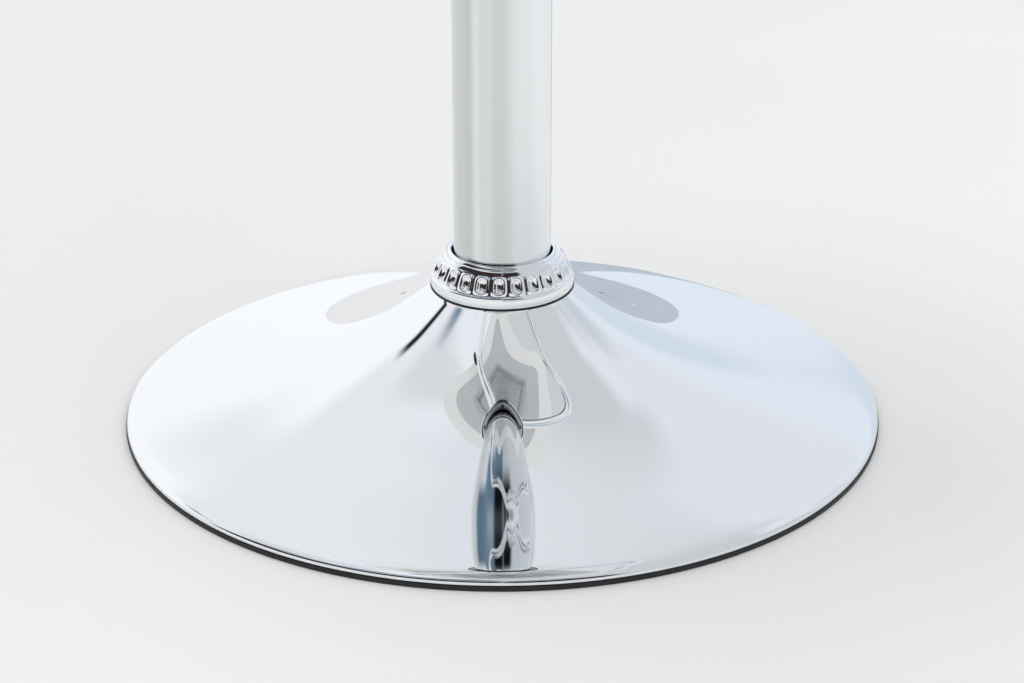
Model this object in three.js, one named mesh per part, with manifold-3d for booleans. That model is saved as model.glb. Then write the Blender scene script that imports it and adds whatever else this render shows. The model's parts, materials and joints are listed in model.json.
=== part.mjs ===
// A height-adjustable counter stool. A spun trumpet foot with a rubber edge carries a chrome column.
// A gas cylinder slides and turns in the column and carries a bell sleeve with a looped footrest,
// the seat plate with its release lever, and a square padded seat.
// Lengths are millimetres. +Z is up, the floor is z = 0, the column stands on the Z axis,
// and the front of the seat and the footrest face -Y.
import * as THREE from 'three';
import { mergeVertices } from 'three/addons/utils/BufferGeometryUtils.js';
import Module from 'manifold-3d';

const wasm = await Module();
wasm.setup();

// Sizes that several pieces share
const gap = 0.3; // between pieces that rest on or in each other
const slideGap = 1; // between the column and what comes down over it
const overrun = 9; // how far a cutting tool runs past what it cuts
const mergeDistance = 0.001; // corners nearer than this are one corner
const roundFacets = 28; // facets round a turned piece
const smallFacets = 16; // facets round a pin, rod or bolt

const foot = {
  radius: 196.5, // outside of the rolled edge
  sheet: 1.5, // steel the trumpet is spun from
  edgeRoll: 1.4, // radius of the rolled edge
  rimHeight: 6.4, // top of the surface where it meets the rolled edge
  skirtBottom: 3, // lower end of the edge
  neckRadius: 36.9, // where the collar's skirt meets the flare
  neckHeight: 69.3,
  neckSlope: 0.72, // rise over run of the flare at the neck
  throatTop: 81,
  flareSteps: 11,
  throatSteps: 2,
  undersideSteps: 7,
  facets: 48,
};
// The flare from the neck to the rim: share of the way out, share of the height
const flareShares = [
  [0, 1], [0.051, 0.907], [0.09, 0.837], [0.145, 0.738], [0.208, 0.636], [0.271, 0.549],
  [0.397, 0.406], [0.522, 0.295], [0.648, 0.206], [0.774, 0.134], [0.899, 0.062], [1, 0],
];

const rubber = {
  proud: 0.5,
  thickness: 2.7,
  width: 9.5,
  lipInset: 4.8,
  lipWidth: 2,
  lipRise: 2.2,
  chamfer: 0.7,
};

const column = {
  radius: 25, // a standard gas-lift tube
  wall: 1.8,
  bottomHeight: 13,
  topHeight: 318,
  floor: 2.5, // thickness of the rolled-in bottom
  tailRadius: 24.2, // the tapered end that wedges in the hub
  tailLength: 62,
  rodHole: 7,
};
const hub = { wall: 2.1, bottomHeight: 16, topHeight: 78 };
const webPlate = { radius: 88, thickness: 3, holeRadius: 13, holes: 6 };

const collar = {
  topHeight: 91,
  skirtRadius: 36.9,
  skirtLift: 0.35, // of the skirt over the flare
  dimples: 24,
  dimpleDepth: 1.2,
  framePride: 0.25,
  dimplePhase: THREE.MathUtils.degToRad(-3),
  bandSteps: 4,
  facetsPerDimple: 4,
};
// The collar's section: share of the way from its bore to its skirt, share of its height
const collarShares = {
  outside: [[1, 0], [1, 0.327], [0.948, 0.36]],
  bandFoot: [0.914, 0.374],
  bandHead: [0.543, 0.766],
  inside: [
    [0.509, 0.8], [0.509, 0.86], [0.457, 0.893], [0.28, 0.879], [0.24, 0.945], [0, 1], [0, 0.766],
    [0.776, 0.271], [0.888, 0.065],
  ],
};

const cap = { height: 8.7, pride: 0.4, edge: 1.1 };
const bush = { length: 70 };
const cylinder = {
  radius: 14,
  wall: 1.4,
  bottomHeight: 243, // at the top of its travel
  topHeight: 630,
  sealThickness: 12,
  headThickness: 16,
  taperRadius: 13.3,
  taperLength: 50,
};
const rod = { radius: 5, stepRadius: 4, grooveRadius: 3, headRadius: 6, headHeight: 2.7, tail: 6.5 };
const piston = { lift: 5, height: 12, sideGap: 0.4 };
const race = { radius: 12.5, thickness: 1.5, boreGap: 0.6 };
const cage = { radius: 12, ballRadius: 1.5, pitchRadius: 8.5, balls: 6, thickness: 1.2 };
const bump = { radius: 11, height: 11, waist: 1.5 };
const washer = { radius: 11, thickness: 1.5 };
const clip = { radius: 6.6, thickness: 1.5, mouth: THREE.MathUtils.degToRad(70) };
const valve = { radius: 3, length: 18, proud: 6.3, chamfer: 0.8 };

const bell = {
  radius: 31,
  wall: 1.5,
  bottomHeight: 338,
  flareRadius: 35,
  flareHeight: 13,
  shoulderStart: 533,
  neckStart: 560,
  topHeight: 572,
  bushWall: 2.4,
  bushHeight: 22,
  shoulderSteps: 3,
};
const glide = { lift: 14, height: 6, wall: 1.4, tabs: 4, tabHalfAngle: THREE.MathUtils.degToRad(6) };

const footrest = {
  rise: 50, // centre of the tube over the bell's lower edge
  tubeRadius: 8,
  halfWidth: 158, // where the lines through the side and front runs would meet
  widestForward: 40,
  barHalf: 60,
  reach: 178, // centre of the front bar ahead of the column
  rootForward: 0,
  wideBend: 52,
  barBend: 24,
  steps: 52,
  sides: 12,
};
const grip = { wall: 2.2, ribRise: 1.1, ribs: 8, halfLength: 34, ribShare: 0.5, sides: 12 };

const socket = { radius: 19, bottomHeight: 572.3, topHeight: 627 };
const plate = {
  half: 80,
  sheet: 2.5,
  flangeTop: 650,
  depth: 25.5, // from the flange down to the sunk floor
  floorHalf: 54,
  wallRun: 12,
  corner: 12,
  boltHalf: 71,
  boltHole: 4,
};
const bolt = { radius: 3.4, headRadius: 6.6, headHeight: 5, grip: 9, flats: 6 };
const lining = { half: 134, corner: 26, thickness: 1.5 };
const board = { inset: 22, thickness: 12, corner: 22, pilot: 3.8 };
const seat = {
  halfWidth: 190,
  frontReach: 188,
  rearReach: 190,
  corner: 40,
  sideHeight: 52,
  edgeInset: 9,
  crown: 10,
  sideDraw: 4,
  rearLip: 38,
  lipStart: 60,
  cornerSteps: 4,
  sideSteps: 5,
};
// The padding's outline from its lower edge to its crown: share of the edge inset, share of the side height
const paddingShares = [[1, 0], [0.25, 0.1], [0, 0.35], [0, 0.62], [0.45, 0.86], [1.3, 0.98]];
// The crown's rings: share of the half width left, share of the crown's rise
const crownShares = [[0.86, 0.35], [0.68, 0.66], [0.45, 0.88], [0.2, 1]];

const lever = {
  radius: 4,
  pivotX: -30,
  height: 640.6,
  innerEnd: 6,
  wallX: -62,
  dropX: -96,
  dropZ: 626,
  outerX: -150,
  outerZ: 616,
  tipX: -176,
  tipZ: 613,
  bend: 14,
  steps: 22,
  sides: 12,
  lift: 6, // the slot's room above the rod as the lever is pulled
  dip: 4, // and below it, where the rod already bends down
};
const paddle = { length: 42, radius: 7, rootRadius: 5.4, endRadius: 4.6, rootX: -153 };
const pivot = { radius: 1.8, reach: 11, earHalf: 5, earThickness: 2.5, earWidth: 14, strip: 2 };

// Finishes
const finish = (color, roughness, metalness) => (
  new THREE.MeshStandardMaterial({ color, roughness, metalness }));
const chrome = finish(0xdfe2e5, 0.05, 1);
const zincSteel = finish(0xa9adb0, 0.35, 1);
const blackSteel = finish(0x1e1f21, 0.5, 0.6);
const blackPlastic = finish(0x17181a, 0.45, 0);
const blackRubber = finish(0x1a1a1b, 0.8, 0);
const paleLeather = finish(0xe9e8e4, 0.55, 0);
const greyCloth = finish(0x9ea3a4, 0.9, 0);
const plywood = finish(0xc9a878, 0.7, 0);

// Geometry helpers
function weld(geometry) {
  const bare = geometry.clone();
  const extras = Object.keys(bare.attributes).filter((name) => name !== 'position');
  extras.forEach((name) => bare.deleteAttribute(name));
  const merged = mergeVertices(bare, mergeDistance);
  const corners = merged.index.array;
  const kept = [];
  for (let i = 0; i < corners.length; i += 3) {
    const [a, b, c] = [corners[i], corners[i + 1], corners[i + 2]];
    if (a !== b && b !== c && c !== a) kept.push(a, b, c);
  }
  merged.setIndex(kept);
  return merged;
}

// Turns the faces outward if the closed surface is inside out
function facesOut(geometry) {
  const place = geometry.attributes.position;
  const corners = geometry.index.array;
  const at = (i) => new THREE.Vector3().fromBufferAttribute(place, corners[i]);
  let volume = 0;
  for (let i = 0; i < corners.length; i += 3) volume += at(i).dot(at(i + 1).cross(at(i + 2)));
  if (volume < 0) {
    for (let i = 0; i < corners.length; i += 3) [corners[i], corners[i + 1]] = [corners[i + 1], corners[i]];
  }
  return geometry;
}

function toSolid(geometry) {
  const closed = facesOut(weld(geometry));
  const vertProperties = new Float32Array(closed.attributes.position.array);
  const triVerts = new Uint32Array(closed.index.array);
  return new wasm.Manifold(new wasm.Mesh({ numProp: 3, vertProperties, triVerts }));
}

function fromSolid(solid) {
  const { vertProperties, triVerts } = solid.getMesh();
  const geometry = new THREE.BufferGeometry();
  geometry.setAttribute('position', new THREE.BufferAttribute(new Float32Array(vertProperties), 3));
  geometry.setIndex(Array.from(triVerts));
  return geometry;
}

const cut = (body, ...tools) => fromSolid(
  tools.reduce((solid, tool) => solid.subtract(toSolid(tool)), toSolid(body)));

const join = (first, ...rest) => fromSolid(
  rest.reduce((solid, more) => solid.add(toSolid(more)), toSolid(first)));

// Turns a closed outline of [radius, height] points round the Z axis
function revolve(outline, facets = roundFacets) {
  const points = [...outline, outline[0]].map(([radius, height]) => new THREE.Vector2(radius, height));
  return facesOut(weld(new THREE.LatheGeometry(points, facets).rotateX(Math.PI / 2)));
}

const ring = (inner, outer, bottom, top, facets) => revolve(
  [[inner, bottom], [outer, bottom], [outer, top], [inner, top]], facets);

// An upright cylinder for cutting, from bottom to top
const drill = (radius, bottom, top, x = 0, y = 0, facets = smallFacets) => (
  new THREE.CylinderGeometry(radius, radius, top - bottom, facets)
    .rotateX(Math.PI / 2).translate(x, y, (bottom + top) / 2));

// A flat piece cut from sheet, lying between bottom and top
function sheetPiece(shape, bottom, top) {
  const options = { depth: top - bottom, bevelEnabled: false, curveSegments: smallFacets / 4 };
  const geometry = new THREE.ExtrudeGeometry(shape, options);
  return facesOut(weld(geometry.translate(0, 0, bottom)));
}

const circle = (radius, facets, x = 0, y = 0) => Array.from({ length: facets }, (_, i) => {
  const angle = (i / facets) * Math.PI * 2;
  return new THREE.Vector2(x + radius * Math.cos(angle), y + radius * Math.sin(angle));
});

const roundHole = (shape, x, y, radius, facets = smallFacets) => shape.holes.push(
  new THREE.Path(circle(radius, facets, x, y)));

// A bar or tube of round section along a path
function sweep(path, radius, sides, steps) {
  const section = new THREE.Shape(circle(radius, sides));
  const options = { extrudePath: path, steps, bevelEnabled: false };
  return facesOut(weld(new THREE.ExtrudeGeometry(section, options)));
}

// A path through corner points, each rounded by a bend that starts the given distance before it
function bentPath(corners, bends) {
  const path = new THREE.CurvePath();
  let from = corners[0];
  for (let i = 1; i < corners.length - 1; i += 1) {
    const toward = (target) => target.clone().sub(corners[i]).setLength(bends[i - 1]).add(corners[i]);
    const start = toward(corners[i - 1]);
    const end = toward(corners[i + 1]);
    path.add(new THREE.LineCurve3(from, start));
    path.add(new THREE.QuadraticBezierCurve3(start, corners[i], end));
    from = end;
  }
  path.add(new THREE.LineCurve3(from, corners[corners.length - 1]));
  return path;
}

// A skin over rings of equal point counts, capped at both ends
function loft(rings) {
  const count = rings[0].length;
  const middle = (points) => (
    points.reduce((sum, point) => sum.add(point), new THREE.Vector3()).divideScalar(count));
  const last = rings.length - 1;
  const points = [...rings.flat(), middle(rings[0]), middle(rings[last])];
  const corners = [];
  for (let i = 0; i < count; i += 1) {
    const next = (i + 1) % count;
    for (let level = 0; level < last; level += 1) {
      const [low, high] = [level * count, (level + 1) * count];
      corners.push(low + i, low + next, high + next, low + i, high + next, high + i);
    }
    corners.push(points.length - 2, next, i, points.length - 1, last * count + i, last * count + next);
  }
  const geometry = new THREE.BufferGeometry().setFromPoints(points);
  geometry.setIndex(corners);
  return facesOut(weld(geometry));
}

// A ring of points round a rectangle with rounded corners, its sides drawn in between the corners
function panelRing({ left, right, front, rear, corner, cornerSteps, sideSteps = 1, draw = 0 }, heightAt) {
  const centres = [
    [right - corner, front + corner, -Math.PI / 2], [right - corner, rear - corner, 0],
    [left + corner, rear - corner, Math.PI / 2], [left + corner, front + corner, Math.PI],
  ];
  const arcs = centres.map(([x, y, start]) => Array.from({ length: cornerSteps + 1 }, (_, step) => {
    const angle = start + (step / cornerSteps) * (Math.PI / 2);
    return new THREE.Vector2(x + corner * Math.cos(angle), y + corner * Math.sin(angle));
  }));
  const points = arcs.flatMap((arc, side) => {
    const from = arc[cornerSteps];
    const to = arcs[(side + 1) % arcs.length][0];
    const inward = to.clone().sub(from).rotateAround(new THREE.Vector2(), Math.PI / 2).normalize();
    const between = Array.from({ length: sideSteps - 1 }, (_, step) => {
      const share = (step + 1) / sideSteps;
      return from.clone().lerp(to, share).addScaledVector(inward, draw * 4 * share * (1 - share));
    });
    return [...arc, ...between];
  });
  return points.map((point) => new THREE.Vector3(point.x, point.y, heightAt(point)));
}

const square = (half, corner) => ({
  left: -half, right: half, front: -half, rear: half, corner, cornerSteps: 3,
});

const flatShape = (outline) => new THREE.Shape(
  panelRing(outline, () => 0).map((point) => new THREE.Vector2(point.x, point.y)));

// The trumpet foot: outline of its upper face from the throat out to the edge
const hubRadius = column.radius + gap + hub.wall;
const throatRadius = hubRadius + gap + foot.sheet;

function trumpetOutline(flareSteps, throatSteps) {
  const throatBend = new THREE.Vector2(
    throatRadius, foot.neckHeight + (foot.neckRadius - throatRadius) * foot.neckSlope);
  const throat = new THREE.QuadraticBezierCurve(
    new THREE.Vector2(throatRadius, foot.throatTop), throatBend,
    new THREE.Vector2(foot.neckRadius, foot.neckHeight));
  const run = foot.radius - foot.edgeRoll - foot.neckRadius;
  const rise = foot.neckHeight - foot.rimHeight;
  const flare = new THREE.SplineCurve(flareShares.map(([out, up]) => new THREE.Vector2(
    foot.neckRadius + out * run, foot.rimHeight + up * rise)));
  const edge = [
    new THREE.Vector2(foot.radius - foot.edgeRoll / 3, foot.rimHeight - foot.edgeRoll / 3),
    new THREE.Vector2(foot.radius, foot.rimHeight - foot.edgeRoll),
    new THREE.Vector2(foot.radius, foot.skirtBottom),
  ];
  return [...throat.getPoints(throatSteps).slice(0, -1), ...flare.getPoints(flareSteps), ...edge];
}

// The same outline moved to the sheet's lower face
function inset(outline, distance) {
  return outline.map((point, i) => {
    const before = outline[Math.max(i - 1, 0)];
    const after = outline[Math.min(i + 1, outline.length - 1)];
    const along = after.clone().sub(before).normalize();
    return new THREE.Vector2(point.x + along.y * distance, point.y - along.x * distance);
  });
}

const trumpetTop = trumpetOutline(foot.flareSteps, foot.throatSteps);
const trumpetUnderside = inset(trumpetOutline(foot.undersideSteps, foot.throatSteps), foot.sheet);

function heightOn(outline, radius) {
  const i = outline.findIndex((point) => point.x >= radius);
  const [a, b] = [outline[i - 1], outline[i]];
  return THREE.MathUtils.mapLinear(radius, a.x, b.x, a.y, b.y);
}

const asPairs = (outline) => outline.map((point) => [point.x, point.y]);

function baseTrumpet() {
  return revolve([...asPairs(trumpetTop), ...asPairs(trumpetUnderside).reverse()], foot.facets);
}

function rubberRing() {
  const outer = foot.radius + rubber.proud;
  const inner = outer - rubber.width;
  const lip = foot.radius - rubber.lipInset;
  const lipTop = rubber.thickness + rubber.lipRise;
  return revolve([
    [inner, 0], [outer, 0], [outer, rubber.thickness - rubber.chamfer],
    [outer - rubber.chamfer, rubber.thickness], [lip, rubber.thickness], [lip, lipTop],
    [lip - rubber.lipWidth, lipTop], [inner, rubber.thickness],
  ], foot.facets);
}

// The column tapers over its tail, and the hub's bore follows it
function columnRadiusAt(height) {
  const share = Math.min((height - column.bottomHeight) / column.tailLength, 1);
  return THREE.MathUtils.lerp(column.tailRadius, column.radius, share);
}

const tailTop = column.bottomHeight + column.tailLength;

function guideTube() {
  const bore = (height) => columnRadiusAt(height) - column.wall;
  const floorTop = column.bottomHeight + column.floor;
  return revolve([
    [column.rodHole, column.bottomHeight], [column.tailRadius, column.bottomHeight], [column.radius, tailTop],
    [column.radius, column.topHeight], [bore(column.topHeight), column.topHeight], [bore(tailTop), tailTop],
    [bore(floorTop), floorTop], [column.rodHole, floorTop],
  ]);
}

function hubSocket() {
  const bore = (height) => columnRadiusAt(height) + gap;
  return revolve([
    [bore(hub.bottomHeight), hub.bottomHeight], [hubRadius, hub.bottomHeight],
    [hubRadius, hub.topHeight], [bore(hub.topHeight), hub.topHeight], [bore(tailTop), tailTop],
  ]);
}

// A welded plate joins the hub to the inside of the flare
function hubPlate() {
  const top = heightOn(trumpetUnderside, webPlate.radius) - gap;
  const shape = new THREE.Shape(circle(webPlate.radius, foot.facets));
  roundHole(shape, 0, 0, hubRadius + gap, roundFacets);
  const ringRadius = (hubRadius + webPlate.radius) / 2;
  for (let i = 0; i < webPlate.holes; i += 1) {
    const angle = ((i + 0.5) / webPlate.holes) * Math.PI * 2;
    roundHole(shape, ringRadius * Math.cos(angle), ringRadius * Math.sin(angle), webPlate.holeRadius);
  }
  return sheetPiece(shape, top - webPlate.thickness, top);
}

// The decorative collar: a turned section whose slanting band carries oval dimples
const collarBore = column.radius + gap;
const collarBottom = heightOn(trumpetTop, foot.neckRadius + mergeDistance) + collar.skirtLift;

function collarPoint([out, up]) {
  return [
    THREE.MathUtils.lerp(collarBore, collar.skirtRadius, out),
    THREE.MathUtils.lerp(collarBottom, collar.topHeight, up),
  ];
}

function collarRing() {
  const toPoint = (shares) => new THREE.Vector2(...collarPoint(shares));
  const foothold = toPoint(collarShares.bandFoot);
  const head = toPoint(collarShares.bandHead);
  const band = new THREE.LineCurve(foothold, head).getPoints(collar.bandSteps);
  const outline = [...collarShares.outside.map(toPoint), ...band, ...collarShares.inside.map(toPoint)];
  const points = [...outline, outline[0]];
  const facets = collar.dimples * collar.facetsPerDimple;
  const geometry = new THREE.LatheGeometry(points, facets);
  const slope = new THREE.Vector2(head.y - foothold.y, foothold.x - head.x).normalize();
  const place = geometry.attributes.position;
  const firstOfBand = collarShares.outside.length;
  for (let facet = 0; facet <= facets; facet += 1) {
    const wave = Math.cos((facet / collar.facetsPerDimple) * Math.PI * 2);
    const size = wave > 0 ? -collar.dimpleDepth : -collar.framePride;
    const angle = (facet / facets) * Math.PI * 2;
    for (let step = 1; step < collar.bandSteps; step += 1) {
      const i = facet * points.length + firstOfBand + step;
      const push = size * wave * Math.sin((step / collar.bandSteps) * Math.PI);
      const out = push * slope.x;
      place.setXYZ(
        i, place.getX(i) + out * Math.sin(angle), place.getY(i) + push * slope.y,
        place.getZ(i) + out * Math.cos(angle));
    }
  }
  return facesOut(weld(geometry.rotateX(Math.PI / 2)));
}

// Top of the column: a black cap over a long plastic bush
const capBottom = column.topHeight + gap;
const capTop = capBottom + cap.height;
const bushBore = cylinder.radius + gap;

function tubeCap() {
  const outer = column.radius + cap.pride;
  return revolve([
    [bushBore, capBottom], [outer, capBottom], [outer, capTop - cap.edge], [outer - cap.edge, capTop],
    [bushBore + cap.edge, capTop], [bushBore, capTop - cap.edge],
  ]);
}

const guideBush = () => ring(
  bushBore, column.radius - column.wall - gap, column.topHeight - bush.length, column.topHeight);

// Thrust bearing in the bottom of the column, from the floor up
const lowerRaceBottom = column.bottomHeight + column.floor + gap;
const cageBottom = lowerRaceBottom + race.thickness + gap;
const cageMiddle = cageBottom + cage.ballRadius;
const upperRaceBottom = cageMiddle + cage.ballRadius + gap;
const bumpBottom = upperRaceBottom + race.thickness + gap;
const stepBore = rod.stepRadius + gap;

const lowerRace = () => ring(
  rod.stepRadius + race.boreGap, race.radius, lowerRaceBottom, lowerRaceBottom + race.thickness);
const upperRace = () => ring(stepBore, race.radius, upperRaceBottom, upperRaceBottom + race.thickness);

function ballCage() {
  const band = ring(rod.stepRadius + race.boreGap, cage.radius,
    cageMiddle - cage.thickness / 2, cageMiddle + cage.thickness / 2);
  const balls = Array.from({ length: cage.balls }, (_, i) => {
    const angle = (i / cage.balls) * Math.PI * 2;
    return new THREE.IcosahedronGeometry(cage.ballRadius, 1).translate(
      cage.pitchRadius * Math.cos(angle), cage.pitchRadius * Math.sin(angle), cageMiddle);
  });
  return join(band, ...balls);
}

function bumpRubber() {
  const bore = rod.radius + gap;
  const top = bumpBottom + bump.height;
  const middle = (bumpBottom + top) / 2;
  return revolve([
    [bore, bumpBottom], [bump.radius, bumpBottom], [bump.radius - bump.waist, middle], [bump.radius, top],
    [bore, top],
  ]);
}

const washerTop = column.bottomHeight - gap;
const clipTop = washerTop - washer.thickness - gap;
const rodWasher = () => ring(stepBore, washer.radius, washerTop - washer.thickness, washerTop);

// The retaining clip is a C that snaps in the rod's groove
function rodClip() {
  const inner = rod.grooveRadius + gap;
  const [start, end] = [clip.mouth / 2, Math.PI * 2 - clip.mouth / 2];
  const shape = new THREE.Shape();
  shape.absarc(0, 0, clip.radius, start, end, false);
  shape.absarc(0, 0, inner, end, start, true);
  return sheetPiece(shape, clipTop - clip.thickness, clipTop);
}

const pistonBottom = cylinder.bottomHeight + cylinder.sealThickness + piston.lift;
const pistonTop = pistonBottom + piston.height;

function pistonRod() {
  const grooveBottom = clipTop - clip.thickness - gap;
  const headBottom = pistonTop + gap;
  const top = headBottom + rod.headHeight;
  return revolve([
    [0, rod.tail], [rod.stepRadius, rod.tail], [rod.stepRadius, grooveBottom],
    [rod.grooveRadius, grooveBottom], [rod.grooveRadius, clipTop + gap], [rod.stepRadius, clipTop + gap],
    [rod.stepRadius, bumpBottom], [rod.radius, bumpBottom], [rod.radius, pistonBottom - gap],
    [rod.stepRadius, pistonBottom - gap], [rod.stepRadius, headBottom], [rod.headRadius, headBottom],
    [rod.headRadius, top], [0, top],
  ], smallFacets);
}

const cylinderBore = cylinder.radius - cylinder.wall;
const pistonHead = () => ring(stepBore, cylinderBore - piston.sideGap, pistonBottom, pistonTop);

// The gas cylinder: sealed round the rod below, tapered into the seat's socket above
const taperStart = cylinder.topHeight - cylinder.taperLength;

function gasCylinder() {
  const rodBore = rod.radius + gap;
  const valveBore = valve.radius + gap;
  const sealTop = cylinder.bottomHeight + cylinder.sealThickness;
  const headBottom = cylinder.topHeight - cylinder.headThickness;
  const headBore = cylinderBore - cylinder.wall;
  return revolve([
    [rodBore, cylinder.bottomHeight], [cylinder.radius, cylinder.bottomHeight], [cylinder.radius, taperStart],
    [cylinder.taperRadius, cylinder.topHeight], [valveBore, cylinder.topHeight], [valveBore, headBottom],
    [headBore, headBottom], [headBore, taperStart], [cylinderBore, taperStart], [cylinderBore, sealTop],
    [rodBore, sealTop],
  ]);
}

function valvePin() {
  const top = cylinder.topHeight + valve.proud;
  const bottom = top - valve.length;
  return revolve([
    [0, bottom], [valve.radius, bottom], [valve.radius, top - valve.chamfer],
    [valve.radius - valve.chamfer, top], [0, top],
  ], smallFacets);
}

// The bell sleeve comes down over the column as the seat is lowered
const bellNeckRadius = cylinder.radius + gap + bell.bushWall + gap + bell.wall;

function bellSleeve() {
  const flareTop = bell.bottomHeight + bell.flareHeight;
  const flare = new THREE.QuadraticBezierCurve(
    new THREE.Vector2(bell.flareRadius, bell.bottomHeight),
    new THREE.Vector2(bell.radius, (bell.bottomHeight + flareTop) / 2),
    new THREE.Vector2(bell.radius, flareTop));
  const shoulderBend = (bell.shoulderStart + bell.neckStart) / 2;
  const shoulder = new THREE.CubicBezierCurve(
    new THREE.Vector2(bell.radius, bell.shoulderStart), new THREE.Vector2(bell.radius, shoulderBend),
    new THREE.Vector2(bellNeckRadius, shoulderBend), new THREE.Vector2(bellNeckRadius, bell.neckStart));
  const outside = [
    ...flare.getPoints(bell.shoulderSteps), ...shoulder.getPoints(bell.shoulderSteps),
    new THREE.Vector2(bellNeckRadius, bell.topHeight),
  ];
  const inside = inset(outside, -bell.wall);
  return revolve([...asPairs(outside), ...asPairs(inside).reverse()]);
}

const bellBush = () => ring(
  cylinder.radius + gap, cylinder.radius + gap + bell.bushWall,
  bell.topHeight - bell.bushHeight, bell.topHeight);

// Plastic ring inside the bell with tabs that run down the column
function bellGlide() {
  const outer = bell.radius - bell.wall - gap;
  const tabRadius = column.radius + cap.pride + slideGap;
  const shape = new THREE.Shape(circle(outer, roundFacets));
  const bore = new THREE.Path();
  for (let tab = 0; tab < glide.tabs; tab += 1) {
    const middle = (tab / glide.tabs) * Math.PI * 2;
    const nextMiddle = ((tab + 1) / glide.tabs) * Math.PI * 2;
    const [tabStart, tabEnd] = [middle - glide.tabHalfAngle, middle + glide.tabHalfAngle];
    bore.absarc(0, 0, tabRadius, tabStart, tabEnd, false);
    bore.absarc(0, 0, outer - glide.wall, tabEnd, nextMiddle - glide.tabHalfAngle, false);
  }
  shape.holes.push(bore);
  const bottom = bell.bottomHeight + glide.lift;
  return sheetPiece(shape, bottom, bottom + glide.height);
}

// The footrest: one tube bent from the bell's side round the front bar to the bell's other side
const footrestHeight = bell.bottomHeight + footrest.rise;

function footrestLoop() {
  const at = (x, forward) => new THREE.Vector3(x, -forward, footrestHeight);
  const side = (sign) => [
    at(0, footrest.rootForward), at(sign * footrest.halfWidth, footrest.widestForward),
    at(sign * footrest.barHalf, footrest.reach),
  ];
  const [root, wide, bar] = side(1);
  const [otherRoot, otherWide, otherBar] = side(-1);
  root.x = bell.radius / 2;
  otherRoot.x = -bell.radius / 2;
  const path = bentPath(
    [root, wide, bar, otherBar, otherWide, otherRoot],
    [footrest.wideBend, footrest.barBend, footrest.barBend, footrest.wideBend]);
  const tube = sweep(path, footrest.tubeRadius, footrest.sides, footrest.steps);
  const bellSpace = drill(
    bell.radius + gap, footrestHeight - footrest.tubeRadius - overrun,
    footrestHeight + footrest.tubeRadius + overrun, 0, 0, roundFacets);
  return cut(tube, bellSpace);
}

// A ribbed sleeve on the front bar
function footrestGrip() {
  const bore = footrest.tubeRadius + gap * 2;
  const low = bore + grip.wall;
  const high = low + grip.ribRise;
  const pitch = (grip.halfLength * 2) / grip.ribs;
  const land = (pitch * (1 - grip.ribShare)) / 2;
  const ribs = Array.from({ length: grip.ribs }, (_, i) => {
    const start = -grip.halfLength + i * pitch;
    const end = start + pitch - land;
    return [[low, start], [high, start + land / 2], [high, end - land / 2], [low, end]];
  }).flat();
  const outline = [[bore, -grip.halfLength], ...ribs, [low, grip.halfLength], [bore, grip.halfLength]];
  return revolve(outline, grip.sides).rotateY(Math.PI / 2).translate(0, -footrest.reach, footrestHeight);
}

// Under the seat: a tapered socket in a sunk pressed plate
const plateFloorTop = plate.flangeTop - plate.depth;
const plateFloorBottom = plateFloorTop - plate.sheet;

function taperSocket() {
  const topBore = THREE.MathUtils.mapLinear(
    socket.topHeight, taperStart, cylinder.topHeight, cylinder.radius, cylinder.taperRadius) + gap;
  return revolve([
    [cylinder.radius + gap, socket.bottomHeight], [socket.radius, socket.bottomHeight],
    [socket.radius, socket.topHeight], [topBore, socket.topHeight], [cylinder.radius + gap, taperStart],
  ]);
}

const cornerSigns = [[1, -1], [1, 1], [-1, 1], [-1, -1]];
const boltPlaces = cornerSigns.map(([x, y]) => [x * plate.boltHalf, y * plate.boltHalf]);

function seatPlate() {
  const level = (half, height) => panelRing(square(half, plate.corner), () => height);
  const wallTop = plate.floorHalf + plate.wallRun;
  const flangeBottom = plate.flangeTop - plate.sheet;
  const pressed = loft([
    level(plate.floorHalf, plateFloorTop), level(wallTop, plate.flangeTop),
    level(plate.half, plate.flangeTop), level(plate.half, flangeBottom),
    level(wallTop + plate.sheet, flangeBottom), level(plate.floorHalf + plate.sheet, plateFloorBottom),
  ]);
  const slotBottom = lever.height - lever.radius - lever.dip;
  const slotTop = lever.height + lever.radius + lever.lift;
  const slot = new THREE.BoxGeometry(
    plate.wallRun * 2 + overrun, (lever.radius + slideGap) * 2, slotTop - slotBottom)
    .translate(-(plate.floorHalf + plate.wallRun / 2), 0, (slotBottom + slotTop) / 2);
  const holes = boltPlaces.map(([x, y]) => drill(
    plate.boltHole, flangeBottom - overrun, plate.flangeTop + overrun, x, y));
  const socketHole = drill(
    socket.radius + gap, plateFloorBottom - overrun, plateFloorTop + overrun, 0, 0, roundFacets);
  return cut(pressed, slot, socketHole, ...holes);
}

const liningBottom = plate.flangeTop + gap;
const boardBottom = liningBottom + lining.thickness + gap;
const boardTop = boardBottom + board.thickness;

function seatBolt([x, y]) {
  const headTop = plate.flangeTop - plate.sheet - gap;
  const headBottom = headTop - bolt.headHeight;
  const head = drill(bolt.headRadius, headBottom, headTop, x, y, bolt.flats);
  const shankBottom = (headBottom + headTop) / 2;
  const shank = drill(bolt.radius, shankBottom, boardBottom + bolt.grip, x, y, smallFacets / 2);
  return join(head, shank);
}

function undersideLining() {
  const shape = flatShape(square(lining.half, lining.corner));
  boltPlaces.forEach(([x, y]) => roundHole(shape, x, y, plate.boltHole));
  return sheetPiece(shape, liningBottom, liningBottom + lining.thickness);
}

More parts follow.
